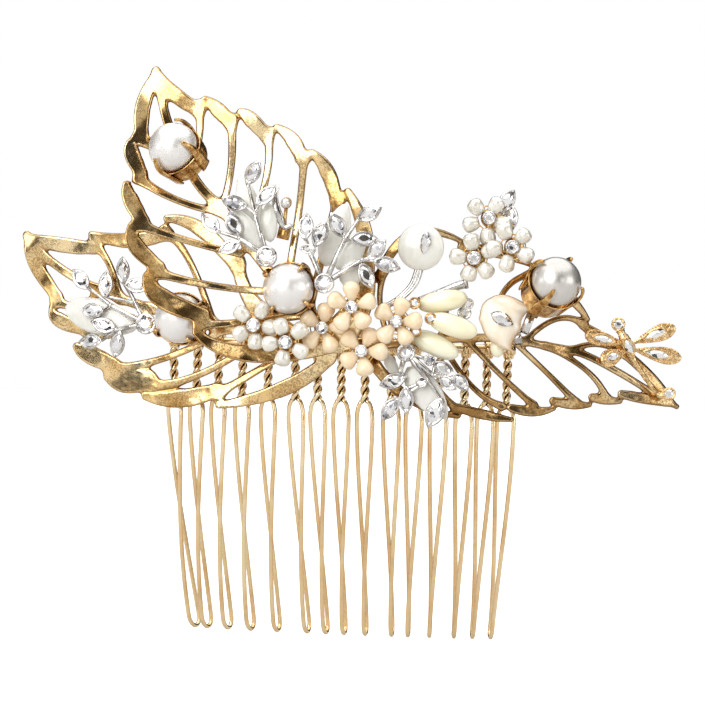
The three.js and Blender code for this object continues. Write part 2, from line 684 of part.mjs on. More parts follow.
makeFlower('flower_white_left', [-13.1, -9.7, 2.9], -9, WHITE_BEAD, [-13.4, 3.6], upperLeafDepth);
makeFlower('flower_white_low', [-7.3, -11.4, 0.2], -29, WHITE_BEAD, [-7.3, -0.7], upperLeafDepth);
makeFlower('flower_white_top', [25.6, -3.2, 22.2], -14, WHITE_BEAD, [24.5, 17.2], sideLeafDepth);
makeFlower('flower_white_middle', [23.4, -4.6, 15.3], 30, WHITE_BEAD, [23.6, 15.8], sideLeafDepth);
makeFlower('flower_white_right', [30, -6.4, 17.3], 45, WHITE_BEAD, [29.2, 15.9], sideLeafDepth);
makeFlower('flower_peach_left', [-1.6, -8.4, 2.8], 6, PEACH_BEAD, [-1.6, 2.8], upperLeafDepth);
makeFlower('flower_peach_top', [3.6, -10.6, 6.4], 18, PEACH_BEAD, [4, 6.2], upperLeafDepth);
makeFlower('flower_peach_low', [5.2, -8.4, -0.9], -4, PEACH_BEAD, [3.1, 0.1], upperLeafDepth);
makeFlower('flower_peach_right', [11, -8.6, 4.2], 8, PEACH_BEAD, [8.9, 3.2], sideLeafDepth);

makeButton();
makeBranchStem();
makeBell();
makeLongBead('long_bead_top', [18.1, -4.8, 7.9], 11, [13.7, 7.4], [18.6, 7.6]);
makeLongBead('long_bead_middle', [20.2, -6.2, 3.8], -17, [16.5, 4.9], [20.6, 2.2]);
makeLongBead('long_bead_low', [17.1, -4.8, 0.5], -24, [14, 2.7], [17.2, 0.7]);
makeDragonfly();

export default comb;
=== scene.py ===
"""Visual model of a decorative wire hair comb with openwork leaves, pearls, shell petals, bead
flowers, stone sprays and a dragonfly. Lengths below are millimetres unless a name ends in _M or _m."""
import math

import bpy
import numpy as np
from mathutils import Matrix, Vector


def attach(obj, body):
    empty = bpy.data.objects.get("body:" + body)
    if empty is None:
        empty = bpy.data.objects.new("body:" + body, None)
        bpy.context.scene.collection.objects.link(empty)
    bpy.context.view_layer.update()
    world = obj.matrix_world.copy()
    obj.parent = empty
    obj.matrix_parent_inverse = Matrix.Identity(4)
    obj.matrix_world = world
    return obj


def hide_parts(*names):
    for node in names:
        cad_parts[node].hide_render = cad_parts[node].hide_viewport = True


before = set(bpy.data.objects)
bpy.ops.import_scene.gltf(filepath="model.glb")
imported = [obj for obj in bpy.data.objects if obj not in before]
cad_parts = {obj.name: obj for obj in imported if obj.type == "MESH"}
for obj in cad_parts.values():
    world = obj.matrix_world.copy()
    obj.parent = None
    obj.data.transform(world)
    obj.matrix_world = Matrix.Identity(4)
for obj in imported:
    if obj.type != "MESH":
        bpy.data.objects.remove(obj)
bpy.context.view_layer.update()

MM = 0.001
FRONT = np.array([0.0, -1.0, 0.0])

# Comb
TOOTH_COUNT = 15
TOOTH_PITCH = 4.1
TOOTH_LENGTH = 50.0
TWIST_LENGTH = 9.5
WIRE_RADIUS = 0.4
TWIST_OFFSET = 0.39
TWIST_PITCH = 3.5
LOOP_HALF_WIDTH = 1.4
TIP_HALF_WIDTH = 1.7
PAIR_TURN = -1.64
TURN_EASE = 1.6
TOOTH_BOW = 10.0
ROOT_SHIFTS = [-0.8, -0.4, -0.6, -0.4, 0, 0.6, 0.4, 0.5, 0.5, 0.8, 0.8, 0.9, 1.0, 0.6, -0.1]
TIP_SHIFTS = [-0.2, -1.5, -1.4, -0.9, 0.2, 1.9, 1.5, 1.0, 1.0, 1.9, 1.0, 1.0, 1.5, 0.9, 0.2]
SPINE_RADIUS = 0.8
SPINE_ARCH_RADIUS = 102.0
SPINE_HALF_LENGTH = 29.8
WRAP_SPACING = 0.62
WRAP_LEAD = 0.05

# Leaves
LEAF_CELL = 0.15
LEAF_HALF_THICKNESS = 0.5
LEAF_EDGE = 0.3
LEAF_FILLET = 1.3
LEAF_RIPPLE = 0.17

# Pearls
PEARL_RADIUS = 4.25
PEARL_DEPTH = 4.1
PEARL_BACK = 3.3

# Ornaments
POST_RADIUS = 0.42
POST_FOOT_RADIUS = 0.5
POST_SINK = 0.2
BRANCH_RADIUS = 0.5
BRANCH_END_RADIUS = 0.4
TWIG_RADIUS = 0.34
TWIG_END_RADIUS = 0.26
LONG_BEAD_HALF_LENGTH = 4.35
LONG_BEAD_RADIUS = 1.85
BELL_HALF_THICKNESS = 2.0
BELL_EDGE = 2.6
MARQUISE_LENGTH = 4.6
MARQUISE_WIDTH = 2.5
SETTING_FIT = 0.84
STONE_SIDES = 16
PETAL_THICKNESS = 0.6

# Colours
PATINA = (0.17, 0.085, 0.025)
STUDIO_GREY = (0.56, 0.55, 0.53)
FLOOR_GREY = (0.62, 0.61, 0.6)

# Floor and camera
FLOOR_HALF_SIZE_M = 3.0
FLOOR_LEVEL_M = -0.0512
CAMERA_AZIMUTH = 8
CAMERA_ROLL = 1.7
CAMERA_DISTANCE = 600
CAMERA_TARGET = (2.35, -1.2)
CAMERA_LENS = 179.2


# ---- meshes ----

class Build:
    """Vertices and faces in millimetres, gathered from several closed shapes."""

    def __init__(self):
        self.verts = []
        self.faces = []
        self.smooth = []

    def add(self, verts, faces, smooth=True):
        start = len(self.verts)
        self.verts.extend(tuple(float(c) for c in v) for v in verts)
        self.faces.extend(tuple(start + i for i in f) for f in faces)
        self.smooth.extend([smooth] * len(faces))

    def join(self, other):
        start = len(self.verts)
        self.verts.extend(other.verts)
        self.faces.extend(tuple(start + i for i in f) for f in other.faces)
        self.smooth.extend(other.smooth)

    def turned(self, matrix):
        """A copy moved by a 4x4 matrix in millimetres."""
        out = Build()
        out.verts = [tuple(matrix @ Vector(v)) for v in self.verts]
        out.faces = list(self.faces)
        out.smooth = list(self.smooth)
        return out


def add_object(name, data):
    thing = bpy.data.objects.new(name, data)
    bpy.context.scene.collection.objects.link(thing)
    return thing


def make_piece(name, build, material, node):
    """Visible piece that stands for the CAD node, or for a part of it."""
    mesh = bpy.data.meshes.new(name)
    mesh.from_pydata([tuple(c * MM for c in v) for v in build.verts], [], build.faces)
    mesh.polygons.foreach_set("use_smooth", build.smooth)
    mesh.materials.append(material)
    mesh.update()
    piece = add_object(name, mesh)
    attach(piece, "root")
    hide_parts(node)
    return piece


def unit(v):
    v = np.asarray(v, float)
    return v / max(np.linalg.norm(v), 1e-9)


def spline(points, count):
    """Smooth curve through the points, `count` samples from first to last."""
    pts = np.asarray(points, float)
    pts = np.vstack([2 * pts[0] - pts[1], pts, 2 * pts[-1] - pts[-2]])
    spans = len(pts) - 3
    out = []
    for t in np.linspace(0, spans, count):
        i = min(int(t), spans - 1)
        f = t - i
        a, b, c, d = pts[i:i + 4]
        out.append(0.5 * (2 * b + (c - a) * f + (2 * a - 5 * b + 4 * c - d) * f * f
                          + (3 * b - a - 3 * c + d) * f ** 3))
    return np.array(out)


def skin(rows, count):
    """Quads between neighbouring rings of `count` vertices."""
    faces = []
    for i in range(rows - 1):
        for k in range(count):
            a, b = i * count + k, i * count + (k + 1) % count
            faces.append((a, b, b + count, a + count))
    return faces


def loft(build, path, widths, heights, sides=12, up=None, power=2.0):
    """Closed sweep along a path. Each section is a (super)ellipse of half-width `widths` across
    and half-height `heights` along `up`; without `up` the section is carried without twist."""
    path = np.asarray(path, float)
    n = len(path)
    widths = np.broadcast_to(widths, n)
    heights = np.broadcast_to(heights, n)
    verts = []
    carried = None
    for i, tangent in enumerate(np.gradient(path, axis=0)):
        tangent = unit(tangent)
        if up is not None:
            side = unit(np.cross(tangent, unit(up)))
            top = np.cross(side, tangent)
        else:
            if carried is None:
                carried = FRONT if abs(tangent[1]) < 0.9 else np.array([1.0, 0, 0])
                carried = unit(carried - tangent * carried.dot(tangent))
            carried = unit(carried - tangent * carried.dot(tangent))
            top = carried
            side = np.cross(tangent, top)
        for k in range(sides):
            angle = 2 * math.pi * k / sides
            c, s = math.cos(angle), math.sin(angle)
            reach = (abs(c) ** power + abs(s) ** power) ** (-1 / power)
            verts.append(path[i] + side * (widths[i] * c * reach) + top * (heights[i] * s * reach))
    faces = skin(n, sides)
    first, last = len(verts), len(verts) + 1
    verts += [path[0], path[-1]]
    for k in range(sides):
        faces.append((first, (k + 1) % sides, k))
        faces.append((last, (n - 1) * sides + k, (n - 1) * sides + (k + 1) % sides))
    build.add(verts, faces)


def wire(build, points, radius, count=24, sides=8, end_radius=None):
    path = spline(points, count)
    radii = np.linspace(radius, radius if end_radius is None else end_radius, count)
    loft(build, path, radii, radii, sides)


def post(build, start, foot_x, foot_z, depth_at):
    """Wire from the back of an ornament into the front face of the leaf at (foot_x, foot_z)."""
    foot_y = float(depth_at(foot_x, foot_z)) - LEAF_HALF_THICKNESS + POST_SINK
    foot = np.array([foot_x, foot_y, foot_z])
    start = np.array(start, float)
    wire(build, [start, start * 0.4 + foot * 0.6, foot], POST_RADIUS, 10, 8, POST_FOOT_RADIUS)


def lathe(build, profile, segments=24):
    """Turned shape about the viewing axis; profile is (radius, height towards the viewer) from the
    back's centre to the front's centre."""
    verts, faces, rings = [], [], []
    for radius, height in profile:
        if radius < 1e-6:
            rings.append([len(verts)])
            verts.append((0, -height, 0))
            continue
        rings.append(list(range(len(verts), len(verts) + segments)))
        for k in range(segments):
            angle = 2 * math.pi * k / segments
            verts.append((radius * math.cos(angle), -height, radius * math.sin(angle)))
    for low, high in zip(rings, rings[1:]):
        for k in range(segments):
            m = (k + 1) % segments
            if len(low) == 1:
                faces.append((low[0], high[m], high[k]))
            elif len(high) == 1:
                faces.append((low[k], low[m], high[0]))
            else:
                faces.append((low[k], low[m], high[m], high[k]))
    build.add(verts, faces)


def rings_solid(build, rings, smooth=False):
    """Closed solid from a stack of rings with equal counts; each end is closed by one face."""
    count = len(rings[0])
    faces = skin(len(rings), count)
    faces.append(tuple(range(count))[::-1])
    faces.append(tuple(range((len(rings) - 1) * count, len(rings) * count)))
    build.add([v for ring in rings for v in ring], faces, smooth)


def heading(angle):
    """Unit vector at `angle` degrees in the decorated plane."""
    return np.array([math.cos(math.radians(angle)), 0, math.sin(math.radians(angle))])


def at(x, y, z, angle=0.0, tilt_x=0.0, tilt_z=0.0):
    """Placement: turn by `angle` degrees in the decorated plane, tilt (radians), then move."""
    return (Matrix.Translation((x, y, z)) @ Matrix.Rotation(tilt_z, 4, "Z")
            @ Matrix.Rotation(tilt_x, 4, "X") @ Matrix.Rotation(-math.radians(angle), 4, "Y"))


# ---- materials ----


def set_inputs(tree, node, inputs):
    """Link each input that is given a socket, and give any other its value."""
    for name, value in inputs.items():
        if isinstance(value, bpy.types.NodeSocket):
            tree.links.new(value, node.inputs[name])
        else:
            node.inputs[name].default_value = value


def add_node(tree, kind, inputs=None, **settings):
    node = tree.nodes.new("ShaderNode" + kind)
    for name, value in settings.items():
        setattr(node, name, value)
    set_inputs(tree, node, inputs or {})
    return node


def new_material(name, inputs):
    """Material with the given shader inputs; also its tree, its shader and its position socket."""
    material = bpy.data.materials.new(name)
    material.use_nodes = True
    tree = material.node_tree
    shader = tree.nodes["Principled BSDF"]
    set_inputs(tree, shader, inputs)
    return material, tree, shader, add_node(tree, "TexCoord").outputs["Object"]


def noise(tree, place, scale, detail, roughness, distortion=0.0):
    node = add_node(tree, "TexNoise", {"Vector": place, "Scale": scale, "Detail": detail,
                                       "Roughness": roughness, "Distortion": distortion})
    return node.outputs["Fac"]


def ramp(tree, source, stops):
    """Colour ramp through (position, colour) stops."""
    node = add_node(tree, "ValToRGB", {"Fac": source})
    elements = node.color_ramp.elements
    for i in (0, -1):
        elements[i].position = stops[i][0]
        elements[i].color = (*stops[i][1], 1)
    for position, colour in stops[1:-1]:
        elements.new(position).color = (*colour, 1)
    return node.outputs["Color"]


def remap(tree, source, low, high, from_low=0.3, from_high=0.7):
    return add_node(tree, "MapRange", {"Value": source, "From Min": from_low, "From Max": from_high,
                                       "To Min": low, "To Max": high}).outputs["Result"]


def bump(tree, source, strength, distance):
    return add_node(tree, "Bump", {"Height": source, "Strength": strength,
                                   "Distance": distance}).outputs["Normal"]


def mixed(tree, factor, first, second):
    """The first colour where the factor is 0 and the second where it is 1."""
    a, b = (c if isinstance(c, bpy.types.NodeSocket) else (*c, 1) for c in (first, second))
    node = add_node(tree, "Mix", {"Factor": factor, "A": a, "B": b}, data_type="RGBA")
    return node.outputs["Result"]


def metal_material(name, stops, rough, blotch, speckle, relief, hammer=1500):
    """Plated metal: blotchy colour, fine speckle in the roughness, faint hammering."""
    material, tree, shader, place = new_material(name, {"Metallic": 1.0})
    set_inputs(tree, shader, {
        "Base Color": ramp(tree, noise(tree, place, blotch, 4, 0.6, 0.4), stops),
        "Roughness": remap(tree, noise(tree, place, speckle, 2, 0.6), *rough),
        "Normal": bump(tree, noise(tree, place, hammer, 2, 0.5), relief, 0.0002),
    })
    return material


def leaf_material(name, stops):
    """Antique gold: smooth polished flats with scattered dark patina specks and faint waviness."""
    material, tree, shader, place = new_material(name, {"Metallic": 1.0})
    gold = ramp(tree, noise(tree, place, 110, 3, 0.5), stops)
    specks = noise(tree, place, 3200, 3, 0.75)
    cover = remap(tree, noise(tree, place, 170, 3, 0.6, 0.5), 0.0, 0.17, 0.66, 0.46)
    grown = add_node(tree, "Math", {0: specks, 1: cover}, operation="SUBTRACT").outputs["Value"]
    set_inputs(tree, shader, {
        "Base Color": mixed(tree, remap(tree, grown, 0.6, 0.0, 0.29, 0.4), gold, PATINA),
        "Roughness": remap(tree, specks, 0.22, 0.08),
        "Normal": bump(tree, noise(tree, place, 260, 2, 0.5), 0.25, 0.0006),
    })
    return material


def gloss_material(name, stops, rough, coat, subsurface, scale, stretch=(1, 1, 1), relief=0.06,
                   metallic=0.0):
    """Pearl, shell and glass-bead surfaces: cloudy colour under a clear coat."""
    material, tree, shader, place = new_material(name, {
        "Metallic": metallic, "Coat Weight": coat, "Coat Roughness": 0.06,
        "Subsurface Weight": subsurface, "Subsurface Radius": (0.9, 0.8, 0.7),
        "Subsurface Scale": 0.0012,
    })
    stretched = add_node(tree, "Mapping", {"Vector": place, "Scale": stretch}).outputs["Vector"]
    cloud = noise(tree, stretched, scale, 4, 0.6, 0.8)
    set_inputs(tree, shader, {
        "Base Color": ramp(tree, cloud, stops),
        "Roughness": remap(tree, cloud, rough * 0.8, rough * 1.25),
        "Normal": bump(tree, cloud, relief, 0.0003),
    })
    return material


def crystal_material():
    """Foil-backed cut stone: mirror-like facets broken up by light and dark inner reflections, painted
    into the colour cell by cell.
    """
    material, tree, shader, place = new_material("crystal", {
        "Metallic": 0.95, "Coat Weight": 1.0, "Coat Roughness": 0.02})
    cells = add_node(tree, "TexVoronoi", {"Vector": place, "Scale": 1250})
    set_inputs(tree, shader, {
        # Painted reflections: each cell is coloured black, grey or white.
        "Base Color": ramp(tree, cells.outputs["Color"], [
            (0.14, (0.08, 0.08, 0.09)), (0.24, (0.6, 0.61, 0.65)), (0.36, (0.93, 0.93, 0.95)),
            (0.8, (1.0, 1.0, 1.0)),
        ]),
        "Roughness": remap(tree, cells.outputs["Distance"], 0.03, 0.09, 0.0, 0.6),
    })
    return material


def tint_rim(material, colour, low, high):
    """Colour the surface near the outline, read from the `edge` attribute in millimetres; on the comb
    the attribute is the distance from the twist's middle. On the comb and the leaves this paints
    shade.
    """
    tree = material.node_tree
    shader = tree.nodes["Principled BSDF"]
    under = shader.inputs["Base Color"].links[0].from_socket
    edge = add_node(tree, "Attribute", attribute_name="edge").outputs["Fac"]
    fade = remap(tree, edge, 0.0, 1.0, low, high)
    set_inputs(tree, shader, {"Base Color": mixed(tree, fade, colour, under)})


COMB_WIRE = metal_material("comb_wire", [
    (0.3, (0.8, 0.54, 0.27)), (0.5, (0.95, 0.72, 0.42)), (0.65, (1.0, 0.84, 0.56)),
], (0.08, 0.18), 90, 2500, 0.05)
# Painted shade: the comb wire turns dark brown in the crease between its twisted wires.
tint_rim(COMB_WIRE, (0.1, 0.05, 0.015), 0.34, 0.56)
CLAW_GOLD = metal_material("claw_gold", [
    (0.35, (0.34, 0.17, 0.05)), (0.5, (0.62, 0.36, 0.12)), (0.65, (0.92, 0.66, 0.32)),
], (0.12, 0.26), 900, 3500, 0.15)
BRIGHT_GOLD = metal_material("bright_gold", [
    (0.38, (0.5, 0.3, 0.12)), (0.5, (0.84, 0.58, 0.28)), (0.64, (0.96, 0.76, 0.46)),
], (0.14, 0.3), 1400, 4500, 0.5, 3200)
SILVER = metal_material("silver", [
    (0.35, (0.36, 0.33, 0.31)), (0.5, (0.66, 0.64, 0.62)), (0.65, (0.88, 0.87, 0.85)),
], (0.06, 0.18), 700, 3500, 0.2)
ANTIQUE_GOLD = leaf_material("antique_gold", [
    (0.34, (0.62, 0.36, 0.12)), (0.46, (0.93, 0.64, 0.29)), (0.62, (1.0, 0.8, 0.47)),
])
# Painted shade: a darker copy of the antique gold, for the right leaf that sits in shade.
SHADED_GOLD = leaf_material("shaded_gold", [
    (0.34, (0.38, 0.21, 0.07)), (0.48, (0.7, 0.44, 0.18)), (0.64, (0.95, 0.72, 0.4)),
])
# Painted shade: a dark brown band along each leaf's outline, where its edge turns away from the light.
tint_rim(ANTIQUE_GOLD, (0.36, 0.19, 0.055), 0.02, 0.24)
tint_rim(SHADED_GOLD, (0.2, 0.1, 0.03), 0.04, 0.42)
CRYSTAL = crystal_material()
PEARL = gloss_material("pearl", [
    (0.3, (0.82, 0.8, 0.78)), (0.5, (0.88, 0.86, 0.84)), (0.7, (0.92, 0.9, 0.88)),
], 0.3, 0.5, 0.0, 180, relief=0.02, metallic=0.55)
# Painted shade: a darker, greyer copy of the pearl, for the right pearl that sits in shade.
SHADED_PEARL = gloss_material("shaded_pearl", [
    (0.3, (0.58, 0.55, 0.52)), (0.5, (0.66, 0.64, 0.6)), (0.7, (0.74, 0.72, 0.69)),
], 0.28, 0.5, 0.0, 180, relief=0.02, metallic=0.7)
SHELL_WHITE = gloss_material("mother_of_pearl", [
    (0.3, (0.68, 0.68, 0.61)), (0.5, (0.79, 0.785, 0.73)), (0.7, (0.88, 0.87, 0.83)),
], 0.14, 0.8, 0.4, 260, (1, 1, 0.35))
IVORY = gloss_material("ivory_shell", [
    (0.3, (0.88, 0.74, 0.55)), (0.5, (0.94, 0.85, 0.71)), (0.7, (0.97, 0.93, 0.85)),
], 0.1, 1.0, 0.35, 260, (1, 1, 0.5))
tint_rim(IVORY, (0.85, 0.58, 0.32), 0.0, 0.6)
WHITE_BEAD = gloss_material("white_bead", [
    (0.3, (0.74, 0.7, 0.61)), (0.5, (0.84, 0.81, 0.73)), (0.7, (0.92, 0.9, 0.84)),
], 0.12, 1.0, 0.3, 300, metallic=0.3)
PEACH_BEAD = gloss_material("peach_bead", [
    (0.3, (0.9, 0.68, 0.43)), (0.5, (0.94, 0.75, 0.52)), (0.7, (0.97, 0.82, 0.63)),
], 0.12, 0.9, 0.4, 500)
CREAM_BEAD = gloss_material("cream_bead", [
    (0.3, (0.86, 0.8, 0.54)), (0.5, (0.93, 0.88, 0.65)), (0.7, (0.97, 0.94, 0.78)),
], 0.12, 0.8, 0.3, 420, (0.3, 1, 1))


# ---- comb ----

def arch_offset(x):
    return SPINE_ARCH_RADIUS - math.sqrt(SPINE_ARCH_RADIUS ** 2 - x ** 2)


def tooth_bow(z):
    return TOOTH_BOW * (z / TOOTH_LENGTH) ** 2


def tooth_path():
    """One wire: down through the twist, down one leg, round the tip and back up."""
    def leg(side, t):
        z = -TWIST_LENGTH - t * (TOOTH_LENGTH - TWIST_LENGTH - TIP_HALF_WIDTH)
        shoulder = min(t / 0.1, 1.0)
        opening = 0.25 + 0.75 * math.sqrt(1 - (1 - shoulder) ** 2)
        spread = side * opening * (LOOP_HALF_WIDTH + t * (TIP_HALF_WIDTH - LOOP_HALF_WIDTH))
        turn = PAIR_TURN * (1 - (1 - t) ** TURN_EASE)
        return (spread * math.cos(turn), tooth_bow(z) + spread * math.sin(turn), z)

    def strand(side, z):
        turn = 2 * math.pi * (z + TWIST_LENGTH) / TWIST_PITCH
        reach = side * TWIST_OFFSET
        return (reach * math.cos(turn), tooth_bow(z) + reach * math.sin(turn), z)

    twist_z = np.linspace(-0.3, -TWIST_LENGTH, 36)
    ts = np.concatenate([0.1 * np.linspace(0.1, 1, 9) ** 2, np.linspace(0.14, 1, 22)])
    down = [strand(-1, z) for z in twist_z] + [leg(-1, t) for t in ts]
    up = [leg(1, t) for t in ts[::-1]] + [strand(1, z) for z in twist_z[::-1]]
    tip = []
    for angle in np.linspace(0, math.pi, 9)[1:-1]:
        reach = -TIP_HALF_WIDTH * math.cos(angle)
        z = -TOOTH_LENGTH + TIP_HALF_WIDTH * (1 - math.sin(angle))
        tip.append((reach * math.cos(PAIR_TURN), tooth_bow(z) + reach * math.sin(PAIR_TURN), z))
    return np.array(down + tip + up)


def twist_shade_reach(v):
    """Distance from the middle of the twist, where the crease between the wires is painted in shade;
    everything else counts as unshaded.
    """
    in_twist = -TWIST_LENGTH - 0.6 < v[2] < -1.3
    return math.hypot(v[0], v[1] - tooth_bow(v[2])) if in_twist else 1.0


def make_comb():
    path = tooth_path()
    for i in range(TOOTH_COUNT):
        x = TOOTH_PITCH * (i - (TOOTH_COUNT - 1) / 2)
        tooth = Build()
        loft(tooth, path, WIRE_RADIUS, WIRE_RADIUS, 8)
        for turn in range(2):
            angles = np.linspace(0, 2 * math.pi, 17)
            reach = SPINE_RADIUS + WIRE_RADIUS
            ring = [(WRAP_SPACING * (turn - 0.5) + WRAP_LEAD * a, reach * math.sin(a),
                     reach * math.cos(a) * -1) for a in angles]
            loft(tooth, ring, WIRE_RADIUS, WIRE_RADIUS, 8)
        x += ROOT_SHIFTS[i]
        lean = (TIP_SHIFTS[i] - ROOT_SHIFTS[i]) / TOOTH_LENGTH
        shear = Matrix(((1, 0, -lean, 0), (0, 1, 0, 0), (0, 0, 1, 0), (0, 0, 0, 1)))
        matrix = Matrix.Translation((x, arch_offset(x), 0)) @ shear @ Matrix.Rotation(
            math.asin(x / SPINE_ARCH_RADIUS), 4, "Z")
        name = f"tooth_{i + 1:02d}"
        piece = make_piece(name + "_wire", tooth.turned(matrix), COMB_WIRE, name)
        # Painted shade in the crease of the twist, by distance from its middle.
        add_edge(piece, [twist_shade_reach(v) for v in tooth.verts])
    spine = Build()
    xs = np.linspace(-SPINE_HALF_LENGTH, SPINE_HALF_LENGTH, 41)
    loft(spine, [(x, arch_offset(x), 0) for x in xs], SPINE_RADIUS, SPINE_RADIUS, 12)
    piece = make_piece("spine_rod", spine, COMB_WIRE, "comb_spine")
    add_edge(piece, [1.0] * len(spine.verts))


def make_fixing_bar():
    bar = Build()
    loft(bar, [(x, -1.42, 0) for x in np.linspace(-8, 8, 9)], 1.2, 0.3, 16, up=FRONT, power=5)
    piece = make_piece("fixing_bar_plate", bar, COMB_WIRE, "fixing_bar")
    add_edge(piece, [1.0] * len(bar.verts))


# ---- openwork leaves ----

UPPER_LEAF = {
    "base": (1.6, 0.6, 2.0),
    "midrib": [(-32.3, 44.5), (-29.7, 35.9), (-24.5, 26.9), (-19.8, 22.1), (-12.9, 13.7),
               (-6.1, 6.6), (2.2, 0.8)],
    "right_lobes": [
        [(-32.8, 46.5), (-28.9, 43.5), (-24.7, 40.4)],
        [(-23.7, 41.9), (-20.8, 40.6), (-18.7, 38.2)],
        [(-17.6, 39.9), (-14.9, 39.0), (-12.3, 36.0)],
        [(-11.0, 37.3), (-7.3, 35.3), (-5.7, 31.8)],
        [(-4.5, 33.0), (-1.0, 30.0), (0.5, 24.9)],
        [(2.1, 26.4), (5.7, 20.4), (6.0, 14.2)],
        [(6.0, 14.2), (6.6, 7.8), (3.6, 0.9)],
    ],
    "left_lobes": [
        [(-32.8, 46.5), (-35.7, 41.1), (-35.3, 34.9)],
        [(-36.7, 33.7), (-36.9, 31.0), (-34.8, 27.7)],
        [(-36.9, 26.4), (-36.5, 23.1), (-33.9, 19.6)],
        [(-35.4, 19.3), (-34.9, 15.1), (-30.5, 11.5)],
        [(-32.3, 10.6), (-29.8, 5.7), (-22.5, 3.1), 1.25],
        [(-23.4, 0.9), (-14.2, -3.4), (0.7, -1.1), 1.1],
    ],
    "veins": [
        [(-26.0, 30.0), (-24.7, 34.3), (-25.0, 40.0)],
        [(-20.2, 22.7), (-18.9, 30.1), (-19.1, 37.6)],
        [(-15.8, 17.4), (-12.8, 27.7), (-12.8, 35.5)],
        [(-8.3, 9.9), (-6.6, 26.1), (-6.2, 31.2)],
        [(-4.4, 5.8), (-1.4, 20.3), (0.0, 24.4)],
        [(-0.9, 3.3), (4.1, 9.4), (5.2, 14.0)],
        [(-28.5, 32.5), (-32.1, 32.7), (-34.8, 34.4)],
        [(-20.1, 22.1), (-27.3, 23.7), (-34.2, 27.3)],
        [(-16.7, 15.0), (-25.3, 16.9), (-33.3, 19.3)],
        [(-8.8, 8.7), (-20.7, 9.4), (-30.0, 11.4)],
        [(-5.2, 4.9), (-15.3, 3.4), (-22.5, 2.7)],
    ],
}

LEFT_LEAF = {
    "base": (-1.8, -1.3, 1.8),
    "midrib": [(-55.2, 15.6), (-48.9, 11.3), (-41.1, 7.8), (-32.0, 5.1), (-21.3, 2.8), (-9.8, 0.9),
               (-0.8, -0.9)],
    "right_lobes": [
        [(-56.8, 17.9), (-50.2, 17.4), (-44.0, 16.6)],
        [(-44.3, 18.5), (-37.7, 18.3), (-30.8, 19.2)],
        [(-30.5, 21.5), (-23.6, 20.2), (-17.2, 13.7)],
        [(-16.5, 14.4), (-13.1, 7.3), (-1.2, 0.2)],
    ],
    "left_lobes": [
        [(-56.8, 17.9), (-56.0, 12.2), (-51.1, 6.3)],
        [(-51.9, 4.8), (-50.3, 1.7), (-44.3, 0.4)],
        [(-47.1, -2.0), (-44.6, -4.4), (-39.9, -5.8), 1.25],
        [(-41.0, -7.3), (-37.2, -9.4), (-32.2, -8.2), 1.5],
        [(-33.6, -10.5), (-27.1, -11.6), (-20.3, -9.5), 1.2],
        [(-20.2, -11.5), (-8.6, -9.0), (-0.6, -3.2)],
    ],
    "veins": [
        [(-38.6, 6.8), (-40.7, 12.7), (-43.6, 16.0)],
        [(-21.5, 2.8), (-26.1, 13.5), (-30.8, 18.6)],
        [(-13.0, 1.7), (-16.2, 8.9), (-17.3, 13.2)],
        [(-42.4, 8.3), (-46.0, 5.6), (-50.6, 6.3)],
        [(-33.1, 5.4), (-38.4, 1.1), (-44.3, 0.9)],
        [(-19.5, 2.2), (-29.2, -2.8), (-39.9, -5.2)],
        [(-12.9, 1.0), (-23.7, -5.7), (-32.2, -7.7)],
        [(-6.3, 0.0), (-12.8, -4.3), (-20.3, -8.8)],
    ],
}

RIGHT_LEAF = {
    "slim": (0.68, 0.78, 0.7),
    "base": (4.9, -0.2, 1.9),
    "midrib": [(55.6, -7.9), (48.2, -3.5), (41.3, -0.2), (34.7, 1.0), (27.7, 2.0), (15.9, 1.3),
               (4.2, -0.3)],
    "left_lobes": [
        [(57.7, -8.9), (53.7, -3.3), (46.6, 2.6)],
        [(46.9, 2.4), (44.3, 3.9), (42.0, 5.0)],
        [(42.6, 5.8), (38.8, 10.5), (32.7, 13.5)],
        [(32.5, 15.0), (26.4, 17.4), (20.7, 17.9)],
        [(20.9, 18.6), (12.0, 19.9), (6.2, 12.1)],
        [(6.4, 12.4), (4.2, 9.1), (3.6, 1.2)],
    ],
    "right_lobes": [
        [(57.7, -8.9), (52.2, -8.5), (48.1, -7.6)],
        [(48.1, -8.6), (45.5, -8.8), (43.2, -8.3)],
        [(43.1, -9.3), (40.1, -9.8), (36.7, -9.1)],
        [(37.2, -10.1), (33.6, -11.2), (29.7, -10.5)],
        [(30.0, -12.2), (25.4, -12.0), (21.1, -10.8)],
        [(21.1, -11.9), (12.0, -9.3), (4.6, -2.1)],
    ],
    "veins": [
        [(35.3, 0.9), (42.2, -3.0), (45.5, -7.3)],
        [(29.7, 1.8), (35.4, -3.4), (40.6, -8.4)],
        [(21.8, 1.8), (28.5, -4.8), (33.6, -9.2)],
        [(17.6, 1.3), (22.9, -6.0), (28.3, -9.6)],
        [(10.8, 0.6), (16.1, -5.5), (20.4, -10.0)],
        [(5.6, -0.6), (8.1, -4.0), (10.8, -7.6)],
        [(31.9, 1.5), (36.8, 5.4), (41.2, 5.0)],
        [(39.6, 0.3), (44.0, 1.4), (48.6, 0.0)],
        [(26.8, 2.0), (27.9, 9.5), (32.5, 13.0)],
        [(17.6, 1.3), (18.3, 5.2), (18.9, 8.8)],
        [(9.1, 0.6), (7.2, 7.8), (8.4, 13.4)],
    ],
}


def side_leaf_depth(x, z):
    return -3.0 + 0.0028 * x ** 2


def upper_leaf_depth(x, z):
    across = 0.84 * x + 0.543 * (z + 2)
    cupping = np.where(across < 0, 0.015, 0.004)
    return -5.2 - cupping * across ** 2 + 0.0012 * z ** 2


